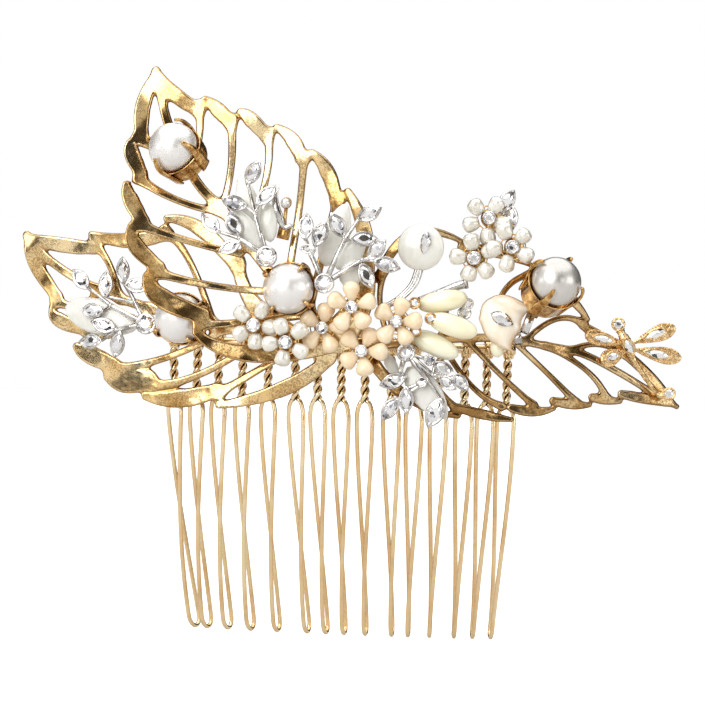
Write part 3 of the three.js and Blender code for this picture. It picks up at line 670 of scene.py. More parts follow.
def stroke_distance(px, pz, line, radii):
    best = np.full(px.shape, 1e9)
    for (x0, z0), (x1, z1), r0, r1 in zip(line, line[1:], radii, radii[1:]):
        dx, dz = x1 - x0, z1 - z0
        t = np.clip(((px - x0) * dx + (pz - z0) * dz) / max(dx * dx + dz * dz, 1e-9), 0, 1)
        reach = np.hypot(px - x0 - t * dx, pz - z0 - t * dz)
        best = np.minimum(best, reach - (r0 + (r1 - r0) * t))
    return best


def smooth_min(a, b, k):
    h = np.maximum(k - np.abs(a - b), 0) / k
    return np.minimum(a, b) - h * h * k / 4


def arc(points, count):
    """Smooth bow through a start, a middle and an end point."""
    start, middle, end = (np.array(p, float) for p in points)
    pull = 2 * middle - (start + end) / 2
    ts = np.linspace(0, 1, count)[:, None]
    return (1 - ts) ** 2 * start + 2 * ts * (1 - ts) * pull + ts ** 2 * end


def shifted(line, offset):
    """The line moved sideways: positive to the left of travel, by an amount for each point."""
    along = np.gradient(line, axis=0)
    along /= np.linalg.norm(along, axis=1)[:, None]
    return line + np.stack([-along[:, 1], along[:, 0]], 1) * np.asarray(offset)[:, None]


def leaf_field(leaf, px, pz):
    """Signed distance to the leaf's metal, negative inside."""
    count = 14
    base_x, base_z, base_r = leaf["base"]
    field = np.hypot(px - base_x, pz - base_z) - base_r
    midrib = spline(leaf["midrib"], 40)
    rim_scale, vein_scale, fillet = leaf.get("slim", (1.0, 1.0, LEAF_FILLET))
    half = np.linspace(0.75, 1.0, 40) * vein_scale
    field = smooth_min(field, stroke_distance(px, pz, midrib, half), fillet)
    ts = np.linspace(0, 1, count)
    for side, sign in (("left_lobes", 1), ("right_lobes", -1)):
        for number, lobe in enumerate(leaf[side]):
            start = 0.3 if number == 0 else 0.62
            half = np.interp(ts, [0, 0.2, 0.5, 0.8, 1], [start, 1.0, 1.35, 1.3, 1.05])
            half = half * rim_scale * (lobe[3] if len(lobe) > 3 else 1.0)
            line = shifted(arc(lobe[:3], count), sign * half)
            field = smooth_min(field, stroke_distance(px, pz, line, half), fillet)
    for vein in leaf["veins"]:
        half = np.interp(ts, [0, 0.5, 0.85, 1], [0.66, 0.6, 0.72, 1.0]) * vein_scale
        field = smooth_min(field, stroke_distance(px, pz, arc(vein, count), half), fillet)
    return field


def plate(build, field, low, high, cell, mid, half_thickness):
    """Closed plate over the region where field < 0. The front and back meet at its outline.
    Returns how far each vertex is inside the outline."""
    nx = int((high[0] - low[0]) / cell) + 1
    nz = int((high[1] - low[1]) / cell) + 1
    xs = low[0] + cell * np.arange(nx)
    zs = low[1] + cell * np.arange(nz)
    gx, gz = np.meshgrid(xs, zs, indexing="ij")
    d = field(gx, gz)
    inside = d < 0
    verts, insets, faces = [], [], []
    front, back, rim = {}, {}, {}

    def face_vertex(i, j, store, sign):
        key = (i, j)
        if key not in store:
            store[key] = len(verts)
            depth = -d[i, j]
            verts.append((gx[i, j], mid(gx[i, j], gz[i, j]) + sign * half_thickness(depth), gz[i, j]))
            insets.append(depth)
        return store[key]

    def rim_vertex(a, b):
        key = (a, b) if a < b else (b, a)
        if key not in rim:
            t = d[a] / (d[a] - d[b])
            t = min(max(t, 0.04), 0.96)
            x = gx[a] + t * (gx[b] - gx[a])
            z = gz[a] + t * (gz[b] - gz[a])
            rim[key] = len(verts)
            verts.append((x, mid(x, z), z))
            insets.append(0.0)
        return rim[key]

    active = np.argwhere(inside[:-1, :-1] | inside[1:, :-1] | inside[:-1, 1:] | inside[1:, 1:])
    for i, j in active:
        corners = [(i, j), (i + 1, j), (i + 1, j + 1), (i, j + 1)]
        flags = [inside[c] for c in corners]
        loops = []
        if flags in ([True, False, True, False], [False, True, False, True]):
            for k in range(4):
                if flags[k]:
                    loops.append([(corners[k],), (corners[k], corners[(k + 1) % 4]),
                                  (corners[k], corners[k - 1])])
        else:
            loop = []
            for k in range(4):
                a, b = corners[k], corners[(k + 1) % 4]
                if inside[a]:
                    loop.append((a,))
                if inside[a] != inside[b]:
                    loop.append((a, b))
            loops.append(loop)
        for loop in loops:
            top = [face_vertex(*p[0], front, -1) if len(p) == 1 else rim_vertex(*p) for p in loop]
            low_side = [face_vertex(*p[0], back, 1) if len(p) == 1 else rim_vertex(*p) for p in loop]
            faces.append(tuple(top))
            faces.append(tuple(low_side[::-1]))
    build.add(verts, faces)
    return insets


def add_edge(piece, insets):
    """Keep each vertex's distance inside the outline, or from the middle of a comb twist, for the
    material.
    """
    edge = piece.data.attributes.new("edge", "FLOAT", "POINT")
    edge.data.foreach_set("value", insets)


def make_leaf(name, leaf, depth_at, material):
    points = np.array([p for lobe in leaf["left_lobes"] + leaf["right_lobes"] for p in lobe[:3]])
    low, high = points.min(0) - 2.5, points.max(0) + 2.5
    rng = np.random.default_rng(len(name))
    waves = rng.uniform(0.5, 1, (4, 3)) * rng.choice([-1, 1], (4, 3))

    def mid(x, z):
        ripple = sum(math.sin(0.4 * (w[0] * x + w[1] * z) + 5 * w[2]) for w in waves)
        return float(depth_at(x, z)) + LEAF_RIPPLE * ripple

    def half_thickness(depth):
        t = min(depth / LEAF_EDGE, 1.0)
        return LEAF_HALF_THICKNESS * math.sqrt(max(0.0, 1 - (1 - t) ** 2.2))

    build = Build()
    insets = plate(build, lambda x, z: leaf_field(leaf, x, z), low, high, LEAF_CELL, mid,
                   half_thickness)
    piece = make_piece(name + "_cast", build, material, name)
    add_edge(piece, insets)


# ---- stones ----

def outline_round(radius):
    angles = [2 * math.pi * k / STONE_SIDES for k in range(STONE_SIDES)]
    return [(radius * math.cos(a), radius * math.sin(a)) for a in angles]


def outline_marquise(length, width):
    """Pointed oval made of two arcs, long axis along +X."""
    out = []
    for k in range(STONE_SIDES):
        t = 2 * k / STONE_SIDES
        side = 1 if t < 1 else -1
        s = 1 - 2 * (t if t < 1 else t - 1)
        out.append((side * s * length / 2, side * (1 - abs(s) ** 2.1) * width / 2))
    return out


def ring_at(outline, scale, height, turn=0.0):
    """The outline scaled about its middle, at a height towards the viewer. `turn` moves each
    corner that part of the way to the next one."""
    corners = np.array(outline)
    corners = corners * (1 - turn) + np.roll(corners, -1, axis=0) * turn
    return [(scale * u, -height, scale * v) for u, v in corners]


def cut_stone(outline, crown):
    """Faceted stone with a flat table, its girdle at height 0."""
    build = Build()
    rings = [ring_at(outline, 0.5, -0.6), ring_at(outline, 1.0, -0.05), ring_at(outline, 1.0, 0.05),
             ring_at(outline, 0.82, crown * 0.6, 0.5), ring_at(outline, 0.52, crown)]
    rings_solid(build, [ring[::-1] for ring in rings])
    return build


def stone_cup(outline, lip):
    """Metal cup that holds a stone, with a rounded lip round its girdle."""
    build = Build()
    section = [(0.4, -0.9), (0.95, -0.54), (1.24, -0.15), (1.3, 0.06), (1.24, lip), (1.1, lip + 0.08),
               (1.01, lip), (0.97, -0.1)]
    rings_solid(build, [ring_at(outline, scale, height)[::-1] for scale, height in section], True)
    return build


def ball(radius, middle, segments=8):
    build = Build()
    lathe(build, [(radius * math.sin(a), radius * -math.cos(a)) for a in np.linspace(0, math.pi, 7)],
          segments)
    return build.turned(Matrix.Translation(middle))


def claws(outline, picks, radius):
    """Claw tips over the stone's edge, at the outline's corners listed in `picks`."""
    build = Build()
    for k in picks:
        u, v = outline[k]
        build.join(ball(radius, (u * 1.03, -radius, v * 1.03)))
    return build


class Spray:
    """Gathers the stones and the metal of one spray."""

    def __init__(self):
        self.stones = Build()
        self.metal = Build()

    def set_stone(self, matrix, outline, crown, lip, picks, claw_radius):
        self.stones.join(cut_stone(outline, crown).turned(matrix))
        self.metal.join(stone_cup(outline, lip).turned(matrix))
        self.metal.join(claws(outline, picks, claw_radius).turned(matrix))

    def set_marquise(self, matrix, length, width):
        outline = outline_marquise(length * SETTING_FIT, width * SETTING_FIT)
        self.set_stone(matrix, outline, 0.6, 0.16, (0, 8), 0.24)

    def set_round(self, matrix, radius):
        outline = outline_round(radius * SETTING_FIT)
        self.set_stone(matrix, outline, radius * 0.42, 0.12, (1, 5, 9, 13), 0.2)

    def finish(self, name, node, metal=SILVER):
        make_piece(name + "_stones", self.stones, CRYSTAL, node)
        make_piece(name + "_metal", self.metal, metal, node)


def make_spray(name, y, slope, hub, hub_radius, branches, seed, foot=None, depth_at=None, beads=()):
    """Set stones on wires from a hub. Each branch is a fork and its stones (x, z, angle, scale)."""
    rng = np.random.default_rng(seed)
    spray = Spray()
    tilt = math.atan(slope)

    def depth(x):
        return y + slope * (x - hub[0])

    spray.set_round(at(hub[0], y - 0.5, hub[1]), hub_radius)
    if foot:
        post(spray.metal, (hub[0], y + 0.2, hub[1]), *foot, depth_at)
    for fork, stones in branches:
        root = np.array([hub[0], y + 0.2, hub[1]])
        knot = np.array([fork[0], depth(fork[0]) + 0.1, fork[1]])
        bow = (root + knot) / 2 + FRONT * 0.35
        wire(spray.metal, [root, bow, knot], BRANCH_RADIUS, 12, 8, BRANCH_END_RADIUS)
        spray.metal.join(ball(0.45, knot))
        for x, z, angle, *rest in stones:
            scale = rest[0] if rest else 1.0
            length = MARQUISE_LENGTH * scale
            middle = np.array([x, depth(x), z])
            along = heading(angle)
            if np.dot(middle - knot, along) < 0:
                along = -along
            heel = middle - along * length * 0.42 - FRONT * 0.35
            wire(spray.metal, [knot, (knot + heel) / 2 - FRONT * 0.15, heel], TWIG_RADIUS, 8, 6,
                 TWIG_END_RADIUS)
            lean_x, lean_z = rng.uniform(-0.25, 0.25, 2)
            spray.set_marquise(at(x, depth(x), z, angle, lean_x, tilt + lean_z), length,
                               MARQUISE_WIDTH * scale)
    for from_x, from_z, x, z in beads:
        wire(spray.metal, [(from_x, depth(from_x), from_z), (x, depth(x), z)], 0.3, 4, 6)
        spray.set_round(at(x, depth(x) - 0.2, z), 0.9)
    spray.finish(name, name)


def make_bud():
    """Curled metal blade and small gold-backed pearl behind the upper spray."""
    blade = Build()
    path = spline([(-8.7, -8.0, 19.3), (-9.9, -8.4, 21.8), (-10.4, -8.4, 24.4),
                   (-9.9, -8.1, 26.3)], 20)
    widths = np.interp(np.linspace(0, 1, 20), [0, 0.3, 0.6, 1], [0.3, 0.85, 0.6, 0.08])
    loft(blade, path, widths, 0.2, 10, up=FRONT)
    curl = spline([(-8.7, -8.2, 19.4), (-7.6, -8.3, 19.9), (-6.9, -8.2, 19.0)], 12)
    loft(blade, curl, np.linspace(0.5, 0.15, 12), 0.2, 8, up=FRONT)
    make_piece("bud_blade", blade, SILVER, "spray_upper")
    cup = Build()
    lathe(cup, [(0, -0.9), (0.7, -0.8), (1.0, -0.1), (0.85, 0.0), (0, -0.2)], 16)
    moved = cup.turned(at(-8.5, -8.2, 23.7, 0, 0.2, 0.5))
    loft(moved, [(-8.6, -7.6, 23.3), (-8.8, -7.4, 21.0), (-8.7, -7.4, 18.0)], 0.3, 0.3, 8)
    loft(moved, [(-9.9, -7.4, 18.9), (-7.9, -7.4, 18.5)], 1.1, 0.35, 14, up=FRONT, power=5)
    make_piece("bud_cup", moved, CLAW_GOLD, "spray_upper")
    make_piece("bud_pearl", ball(0.85, (-8.6, -8.5, 23.7), 16), PEARL, "spray_upper")


# ---- pearls ----

def make_set_pearl(place, x, y, z, prong_angle, tilt_x, tilt_z, depth, foot_x, foot_z, depth_at):
    """Pearl in a four-pronged cup of the given depth, on a post to the leaf."""
    matrix = at(x, y, z, 0, tilt_x, tilt_z)
    pearl = Build()
    back = min(PEARL_BACK, depth - 1.0)
    lathe(pearl, [(PEARL_RADIUS * math.cos(a), (PEARL_DEPTH if a > 0 else back) * math.sin(a))
                  for a in np.linspace(-math.pi / 2, math.pi / 2, 25)], 40)
    # The right pearl takes the darker copy of the pearl, as painted shade.
    material = SHADED_PEARL if place == "right" else PEARL
    make_piece(f"pearl_{place}_bead", pearl.turned(matrix), material, f"pearl_{place}")
    cup = Build()
    lathe(cup, [(0, -depth), (3.3, -depth), (3.8, 0.25 - depth), (4.05, 0.8 - depth), (4.2, -2.2),
                (4.4, -1.5), (4.6, -1.3), (4.55, -1.1), (4.3, -1.3), (4.0, -2.2), (3.6, 0.9 - depth),
                (0, 0.8 - depth)], 40)
    for k in range(4):
        outward = heading(prong_angle + 90 * k)
        line = spline([outward * r + FRONT * h for r, h in (
            (3.9, -depth), (4.3, -3.0), (4.65, -1.4), (4.85, -0.2), (4.75, 1.0), (4.4, 1.9),
            (3.9, 2.6))], 22)
        widths = np.interp(np.linspace(0, 1, 22), [0, 0.4, 0.65, 0.9, 1], [1.1, 0.85, 0.52, 0.34, 0.2])
        loft(cup, line, widths, 0.27, 12, up=outward, power=3.5)
    cup = cup.turned(matrix)
    post(cup, matrix @ Vector((0, depth - 0.3, 0)), foot_x, foot_z, depth_at)
    make_piece(f"pearl_cup_{place}_metal", cup, CLAW_GOLD, f"pearl_cup_{place}")


# ---- petals, flowers, beads ----

def make_petal(name, start, end, width):
    """Thin shell petal, pointed at both ends and bowed forward."""
    start, end = np.array(start), np.array(end)
    ts = np.linspace(0, 1, 22)
    path = [start + (end - start) * t + FRONT * 0.25 * math.sin(math.pi * t) for t in ts]
    profile = np.maximum(np.sin(np.pi * ts ** 0.85), 0.0) ** 0.62
    widths = np.maximum(profile * width / 2, 0.02)
    heights = np.maximum(PETAL_THICKNESS * profile ** 0.6, 0.02)
    build = Build()
    loft(build, path, widths, heights, 24, up=FRONT, power=2.6)
    make_piece(name + "_shell", build, SHELL_WHITE, name)


def teardrop(length, radius, neck):
    """Bead with its drilled end at the origin, pointing along +X; `neck` is how full that end is."""
    build = Build()
    ts = np.linspace(0, 1, 15)
    path = [(length * t, 0, 0) for t in ts]
    radii = radius * np.interp(ts, [0, 0.08, 0.3, 0.5, 0.68, 0.82, 0.92, 0.98, 1],
                               [0.5 * neck, 0.3 + 0.4 * neck, 0.6 + 0.3 * neck, 0.88 + 0.1 * neck, 1.0,
                                0.9, 0.66, 0.35, 0.04])
    loft(build, path, radii, radii, 16)
    return build


def make_flower(name, x, y, z, first_angle, material, seed, foot, depth_at, lean=(0, 0)):
    """Five beads round a set stone; `lean` is how far the ring sits off the stone, as when tilted."""
    rng = np.random.default_rng(seed)
    if material == WHITE_BEAD:
        neck, reach, start, fullness, stone = 1.0, 2.9, 1.4, 1.38, 1.1
    else:
        neck, reach, start, fullness, stone = 0.2, 3.5, 0.85, 1.55, 1.0
    beads = Build()
    for i in range(5):
        angle = first_angle + 72 * i + rng.uniform(-5, 5)
        length, radius = reach * rng.uniform(0.95, 1.05), fullness * rng.uniform(0.95, 1.05)
        matrix = at(x + lean[0], y, z + lean[1], angle) @ Matrix.Translation((start, 0, 0))
        tip = Matrix.Rotation(rng.uniform(-0.12, 0.12), 4, "Z")
        beads.join(teardrop(length, radius, neck).turned(matrix @ tip))
    make_piece(name + "_beads", beads, material, name)
    centre = Spray()
    centre.set_round(at(x, y - 1.3, z, 15), stone)
    make_piece(name + "_stone", centre.stones, CRYSTAL, name)
    make_piece(name + "_setting", centre.metal, SILVER, name)
    cup = Build()
    lathe(cup, [(0, -1.25), (1.5, -1.25), (1.7, -1.1), (1.5, -0.9), (0.7, -0.5), (0, -0.4)], 20)
    ring = [(2.1 * math.cos(a), -0.35, 2.1 * math.sin(a)) for a in np.linspace(0, 2 * math.pi, 33)]
    loft(cup, ring, 0.11, 0.11, 6)
    cup = cup.turned(at(x, y, z))
    post(cup, (x, y + 0.8, z), *foot, depth_at)
    make_piece(name + "_backing", cup, CLAW_GOLD, name)


def make_button():
    shell = Build()
    lathe(shell, [(0, -0.7), (3.4, -0.7), (3.85, -0.5), (3.95, -0.2), (3.75, 0.1), (3.1, 0.45),
                  (2.2, 0.8), (1.2, 1.02), (0, 1.1)], 40)
    make_piece("button_shell", shell.turned(at(14.3, -6, 16.9)), SHELL_WHITE, "shell_button")
    spray = Spray()
    spray.stones.join(cut_stone(outline_marquise(4.0, 1.9), 0.5).turned(at(15.2, -7.1, 17.7, 80)))
    for shift in (-0.45, 0.0, 0.5):
        wire(spray.metal, [(14.2 + shift, -5.6, 13.6), (13.2 + shift, -5.8, 10.6),
                           (11.0 + shift, -5.9, 8.2), (8.0 + shift, -5.6, 6.4)], 0.3, 18, 6, 0.26)
    post(spray.metal, (14.1, -5.6, 17.4), 13.5, 18.3, side_leaf_depth)
    spray.finish("shell_button", "shell_button")


def make_bell():
    outline = spline([(24.3, 5.0), (24.9, 7.6), (26.6, 9.0), (28.6, 9.3), (31.0, 8.5), (33.3, 7.1),
                      (32.2, 6.2), (31.5, 4.8), (31.5, 3.6), (30.5, 2.3), (30.0, 0.9), (29.9, -0.2),
                      (27.6, 0.6), (25.6, 2.2), (24.3, 5.0)], 90)

    def field(px, pz):
        d = stroke_distance(px, pz, outline, np.zeros(len(outline)))
        inside = np.zeros(px.shape, bool)
        for (x0, z0), (x1, z1) in zip(outline, np.roll(outline, -1, axis=0)):
            crosses = (z0 > pz) != (z1 > pz)
            with np.errstate(divide="ignore", invalid="ignore"):
                at_x = (x1 - x0) * (pz - z0) / (z1 - z0) + x0
            inside ^= crosses & (px < at_x)
        return np.where(inside, -d, d)

    def half_thickness(depth):
        t = min(depth / BELL_EDGE, 1.0)
        return BELL_HALF_THICKNESS * math.sqrt(max(0.0, 1 - (1 - t) ** 2))

    def mid(x, z):
        band = z - 8.0 + 0.4 * (x - 28)
        return -3.9 + 0.45 * math.exp(-(band / 0.6) ** 2) + 0.25 * math.tanh(band / 0.5)

    build = Build()
    insets = plate(build, field, (23.5, -1), (34, 10), 0.2, mid, half_thickness)
    piece = make_piece("bell_shell", build, IVORY, "shell_bell")
    add_edge(piece, insets)
    stone = cut_stone(outline_marquise(4.4, 2.3), 0.6).turned(at(28.4, -6.3, 5.2, -25))
    make_piece("bell_stone", stone, CRYSTAL, "shell_bell")
    clips = Build()
    for x, z, half_width, half_height, turn in [
            (32.5, 4.5, 0.75, 1.6, 0.35), (30.9, 2.0, 0.7, 1.0, -0.2)]:
        top = np.array([x + half_height * turn, -3.3, z + half_height])
        foot = np.array([x - half_height * turn, -3.0, z - half_height])
        loft(clips, [top, (top + foot) / 2 + FRONT * 0.25, foot], half_width, 0.3, 12, up=FRONT,
             power=5)
    post(clips, (27.2, -3.4, 5.3), 26.9, 5.3, side_leaf_depth)
    make_piece("bell_clips", clips, SILVER, "shell_bell")
    drop = Build()
    ts = np.linspace(-1, 1, 15)
    radii = np.maximum(1.15 * np.sqrt(np.maximum(1 - ts ** 2, 0)), 0.03)
    loft(drop, [(27.4 + 0.3 * t, -2.9, 0.2 - 1.5 * t) for t in ts], radii, radii * 0.8, 16, up=FRONT)
    make_piece("bell_drop", drop, CREAM_BEAD, "shell_bell")


def make_long_bead(name, x, y, z, angle, stone_x, stone_z, foot_x, foot_z):
    direction = heading(angle)
    middle = np.array([x, y, z])
    ts = np.linspace(-1, 1, 25)
    path = [middle + direction * LONG_BEAD_HALF_LENGTH * t for t in ts]
    radii = np.maximum(LONG_BEAD_RADIUS * np.sqrt(np.maximum(1 - np.abs(ts) ** 2.3, 0)), 0.03)
    build = Build()
    loft(build, path, radii, radii, 24, up=FRONT)
    make_piece(name + "_bead", build, CREAM_BEAD, name)
    spray = Spray()
    spray.set_round(at(stone_x, -7.3, stone_z), 0.95)
    wire(spray.metal, [middle - direction * 3.6, (stone_x, -6.6, stone_z)], 0.35, 6, 6)
    post(spray.metal, (x, y + 1.6, z), foot_x, foot_z, side_leaf_depth)
    spray.finish(name, name, CLAW_GOLD)


def make_long_bead_ties():
    ties = Spray()
    ties.set_round(at(22.3, -3.6, 7.6, 0, 0.2, 0.3), 0.95)
    ties.set_round(at(21.8, -3.9, 6.0, 0, -0.2, 0.1), 1.1)
    wire(ties.metal, [(19.5, -3.4, 7.9), (22.3, -3.3, 7.4), (21.8, -3.5, 6.0)], 0.35, 8, 6)
    ties.finish("long_bead_ties", "long_bead_top")


def make_branch():
    branch = Build()
    stem = spline([(13.7, -2.6, 8.2), (17.0, -2.4, 9.4), (19.4, -2.2, 10.3), (21.7, -2.0, 11.1)], 20)
    loft(branch, stem, np.linspace(0.3, 0.85, 20), 0.3, 10, up=FRONT)
    loft(branch, [(21.5, -2.0, 12.0), (21.7, -2.0, 11.1), (21.9, -2.0, 10.2)], 0.35, 0.35, 8)
    make_piece("branch_stem_wire", branch, SILVER, "branch_stem")


# ---- dragonfly ----

def make_dragonfly():
    slope = 0.22
    tilt = math.atan(slope)

    def depth(x):
        return 1.3 + slope * (x - 50)

    body = Build()
    spine = spline([(47.9, depth(47.9), 3.9), (48.4, depth(48.4) - 0.2, 2.9), (49.4, depth(49.4), 1.2),
                    (50.2, depth(50.2), -0.9), (52.0, depth(52.0), -3.6), (54.4, depth(54.4), -6.6),
                    (55.6, depth(55.6), -6.9)], 40)
    ts = np.linspace(0, 1, 40)
    radii = np.interp(ts, [0, 0.1, 0.2, 0.35, 0.5, 0.8, 0.93, 1],
                      [0.8, 0.6, 0.9, 0.9, 0.5, 0.36, 0.62, 0.5])
    radii = radii * (1 + 0.09 * np.cos(ts * 2 * math.pi * 16))
    loft(body, spine, radii, radii, 12)
    stones = Spray()
    wings = [((49.8, 1.7), (57.1, 4.7), 2.9), ((49.7, 0.8), (58.2, -0.6), 2.9),
             ((49.0, 1.5), (42.1, 3.0), 2.6), ((49.2, 0.5), (44.9, -1.5), 3.0)]
    for (x0, z0), (x1, z1), width in wings:
        root, tip = np.array([x0, depth(x0), z0]), np.array([x1, depth(x1) - 0.3, z1])
        ws = np.linspace(0, 1, 18)
        line = [root + (tip - root) * t for t in ws]
        profile = np.maximum(np.sin(np.pi * ws ** 2.0), 0.05) ** 0.5
        loft(body, line, width / 2 * profile, 0.28, 16, up=FRONT, power=3)
        angle = math.degrees(math.atan2(z1 - z0, x1 - x0))
        length = np.linalg.norm(tip - root)
        for w in np.linspace(0.25, 0.96, 13):
            reach = 0.88 * width / 2 * np.interp(w, ws, profile)
            for side in (-90, 90):
                bead = root + (tip - root) * w + heading(angle + side) * reach + FRONT * 0.3
                body.join(ball(0.17, bead, 6))
        middle = root * 0.45 + tip * 0.55
        stones.set_marquise(at(middle[0], middle[1] - 0.35, middle[2], angle, 0.25, tilt),
                            0.62 * length, 0.68 * width)
    stones.set_marquise(at(49.5, depth(49.5) - 1.0, 1.2, -60, 0.3, tilt), 3.6, 1.9)
    stones.set_round(at(47.6, depth(47.6) - 0.7, 4.9), 1.1)
    stones.set_round(at(56.4, depth(56.4) - 0.6, -6.6), 1.05)
    stones.metal.join(body)
    post(stones.metal, (49.4, 1.3, 1.1), 49.0, 0.6, side_leaf_depth)
    stones.finish("dragonfly", "dragonfly", BRIGHT_GOLD)


# ---- assembly ----

make_comb()
make_leaf("leaf_upper", UPPER_LEAF, upper_leaf_depth, ANTIQUE_GOLD)
make_leaf("leaf_left", LEFT_LEAF, side_leaf_depth, ANTIQUE_GOLD)
# The right leaf takes the darker copy of the gold, as painted shade.
make_leaf("leaf_right", RIGHT_LEAF, side_leaf_depth, SHADED_GOLD)
make_fixing_bar()

make_set_pearl("upper", -27.6, -11.3, 32.5, 82, -0.5, -0.5, 5.0, -26.1, 29.9, upper_leaf_depth)
make_set_pearl("middle", -7.4, -10.3, 9.2, 56, 0, 0, 4.3, -7.9, 8.9, upper_leaf_depth)
make_set_pearl("left", -26.8, -5.6, 3.7, 32, 0, -0.05, 3.8, -26.8, 3.7, side_leaf_depth)
make_set_pearl("right", 37.5, -7.8, 11.6, 52, -0.5, 0.6, 5.9, 35.7, 10.2, side_leaf_depth)

for name, start, end, width in [
        ("left", (-48.5, 2.2, 5.3), (-35, -1.1, 1.8), 6.1),
        ("upper_long", (-12.9, -7.1, 15.8), (-16.8, -6.9, 28.4), 4.4),
        ("upper_side", (-12.9, -8.4, 15.4), (-17.4, -8.4, 22.6), 3.8),
        ("upper_small", (-11, -8.5, 17), (-11.6, -8.5, 23.8), 2.8),
        ("centre_long", (-1.8, -6.8, 13.2), (1.5, -6.8, 24), 5.0),
        ("centre_side", (0.4, -8.1, 12.8), (5, -8.1, 18.4), 4.4),
        ("centre_low", (1.6, -8.9, 10.2), (4.8, -8.9, 14.2), 4.0),
        ("lower_small", (8.6, -4.4, -1.2), (11, -4.4, -5.4), 2.0),
        ("lower_large", (12.4, -4.4, -3.4), (19.4, -4.4, -12), 5.2)]:
    make_petal("petal_" + name, start, end, width)

make_spray("spray_left", -3, -0.22, (-33, 2.7), 1.7, [
    ((-39.7, 5.7), [(-45.3, 10, -45), (-43, 4.7, 0)]),
    ((-38.5, 1.5), [(-40.8, 2.2, -15), (-43.2, -0.6, 5), (-38.2, -1, 75)]),
    ((-35.2, 6.2), [(-40.7, 9.2, 90), (-37.6, 11.7, 90), (-34.9, 9.2, 0)]),
], seed=11, foot=(-34.3, 3.9), depth_at=side_leaf_depth)
make_spray("spray_upper", -10.4, 0, (-11.2, 14.5), 1.7, [
    ((-16, 17.5), [(-17.1, 19.9, -65), (-21, 19.9, -45), (-17.6, 16, 25, 0.9)]),
    ((-13.5, 21.7), [(-14, 28.6, 60), (-17, 23.4, -15), (-11.7, 24.8, 50)]),
], seed=12, foot=(-12.2, 13.7), depth_at=upper_leaf_depth)
make_bud()
make_spray("spray_centre", -10.6, 0, (-1.2, 10.3), 1.6, [
    ((1.9, 17.6), [(0.7, 20.1, -60), (6, 22.2, 25), (5.2, 17.9, 0)]),
    ((5.1, 14.4), [(7.4, 16.1, 45), (9.2, 13.7, -15), (5.8, 11.8, -65)]),
    ((-3.7, 15), [(-4.7, 19.7, 90), (-2.2, 18.5, 65), (-4.2, 16, 0, 0.6)]),
], seed=13, foot=(-3.2, 10.6), depth_at=upper_leaf_depth)
make_spray("spray_lower", -6.1, 0, (12.4, -0.9), 1.5, [
    ((16.2, -5.6), [(12.6, -8.9, 90), (9.9, -10.5, 55), (17.6, -10.9, 65, 1.2)]),
    ((11.5, -4), [(10.3, -5.8, 20)]),
    ((17, -4.6), [(18.8, -3.5, -30, 0.9), (19.5, -5.8, -35, 0.8), (21.8, -5.6, -50, 0.8)]),
], seed=14, foot=(12.3, -1.1), depth_at=side_leaf_depth,
    beads=[(16.2, -5.6, 15.1, -5.9), (12.4, -0.9, 16.4, -2.1)])
make_spray("spray_right", -0.6, 0, (26.6, 20.6), 0.8, [
    ((27.6, 21.6), [(28.1, 25.2, 60), (28.9, 22.3, 90)]),
], seed=15)

for name, place, angle, seed, foot, depth_at, lean in [
        ("left", (-13.1, -9.7, 2.9), -9, 21, (-13.4, 3.6), upper_leaf_depth, (0, 0)),
        ("low", (-7.3, -11.4, 0.2), -29, 22, (-7.3, -0.7), upper_leaf_depth, (0, 0)),
        ("top", (25.6, -3.2, 22.2), -14, 23, (24.5, 17.2), side_leaf_depth, (-0.5, -0.3)),
        ("middle", (23.4, -4.6, 15.3), 30, 24, (23.6, 15.8), side_leaf_depth, (0, 0)),
        ("right", (30, -6.4, 17.3), 45, 25, (29.2, 15.9), side_leaf_depth, (-0.45, 0))]:
    make_flower("flower_white_" + name, *place, angle, WHITE_BEAD, seed, foot, depth_at, lean)
for name, place, angle, seed, foot, depth_at in [
        ("left", (-1.6, -8.4, 2.8), 6, 26, (-1.6, 2.8), upper_leaf_depth),
        ("top", (3.6, -10.6, 6.4), 18, 27, (4, 6.2), upper_leaf_depth),
        ("low", (5.2, -8.4, -0.9), -4, 28, (3.1, 0.1), upper_leaf_depth),
        ("right", (11, -8.6, 4.2), 8, 29, (8.9, 3.2), side_leaf_depth)]:
    make_flower("flower_peach_" + name, *place, angle, PEACH_BEAD, seed, foot, depth_at)

make_button()
make_branch()
make_bell()
make_long_bead("long_bead_top", 18.1, -4.8, 7.9, 11, 13.7, 7.4, 18.6, 7.6)
make_long_bead("long_bead_middle", 20.2, -6.2, 3.8, -17, 16.5, 4.9, 20.6, 2.2)
make_long_bead("long_bead_low", 17.1, -4.8, 0.5, -24, 14, 2.7, 17.2, 0.7)
make_long_bead_ties()
make_dragonfly()


# ---- stage, light, camera ----

def make_stage():
    """Pale floor, plain white to the camera and grey in reflections."""
    mesh = bpy.data.meshes.new("floor")
    side = FLOOR_HALF_SIZE_M
    mesh.from_pydata([(x, y, FLOOR_LEVEL_M) for x, y in ((-side, -side), (side, -side), (side, side),
                                                         (-side, side))], [], [(0, 1, 2, 3)])
    floor = add_object("floor", mesh)
    material, tree, shader, _ = new_material("floor", {
        "Base Color": (*FLOOR_GREY, 1), "Roughness": 0.9, "Specular IOR Level": 0.1,
        "Emission Color": (1, 1, 1, 1)})
    glow = remap(tree, add_node(tree, "LightPath").outputs["Is Camera Ray"], 0.0, 0.9, 0.0, 1.0)
    set_inputs(tree, shader, {"Emission Strength": glow})
    mesh.materials.append(material)


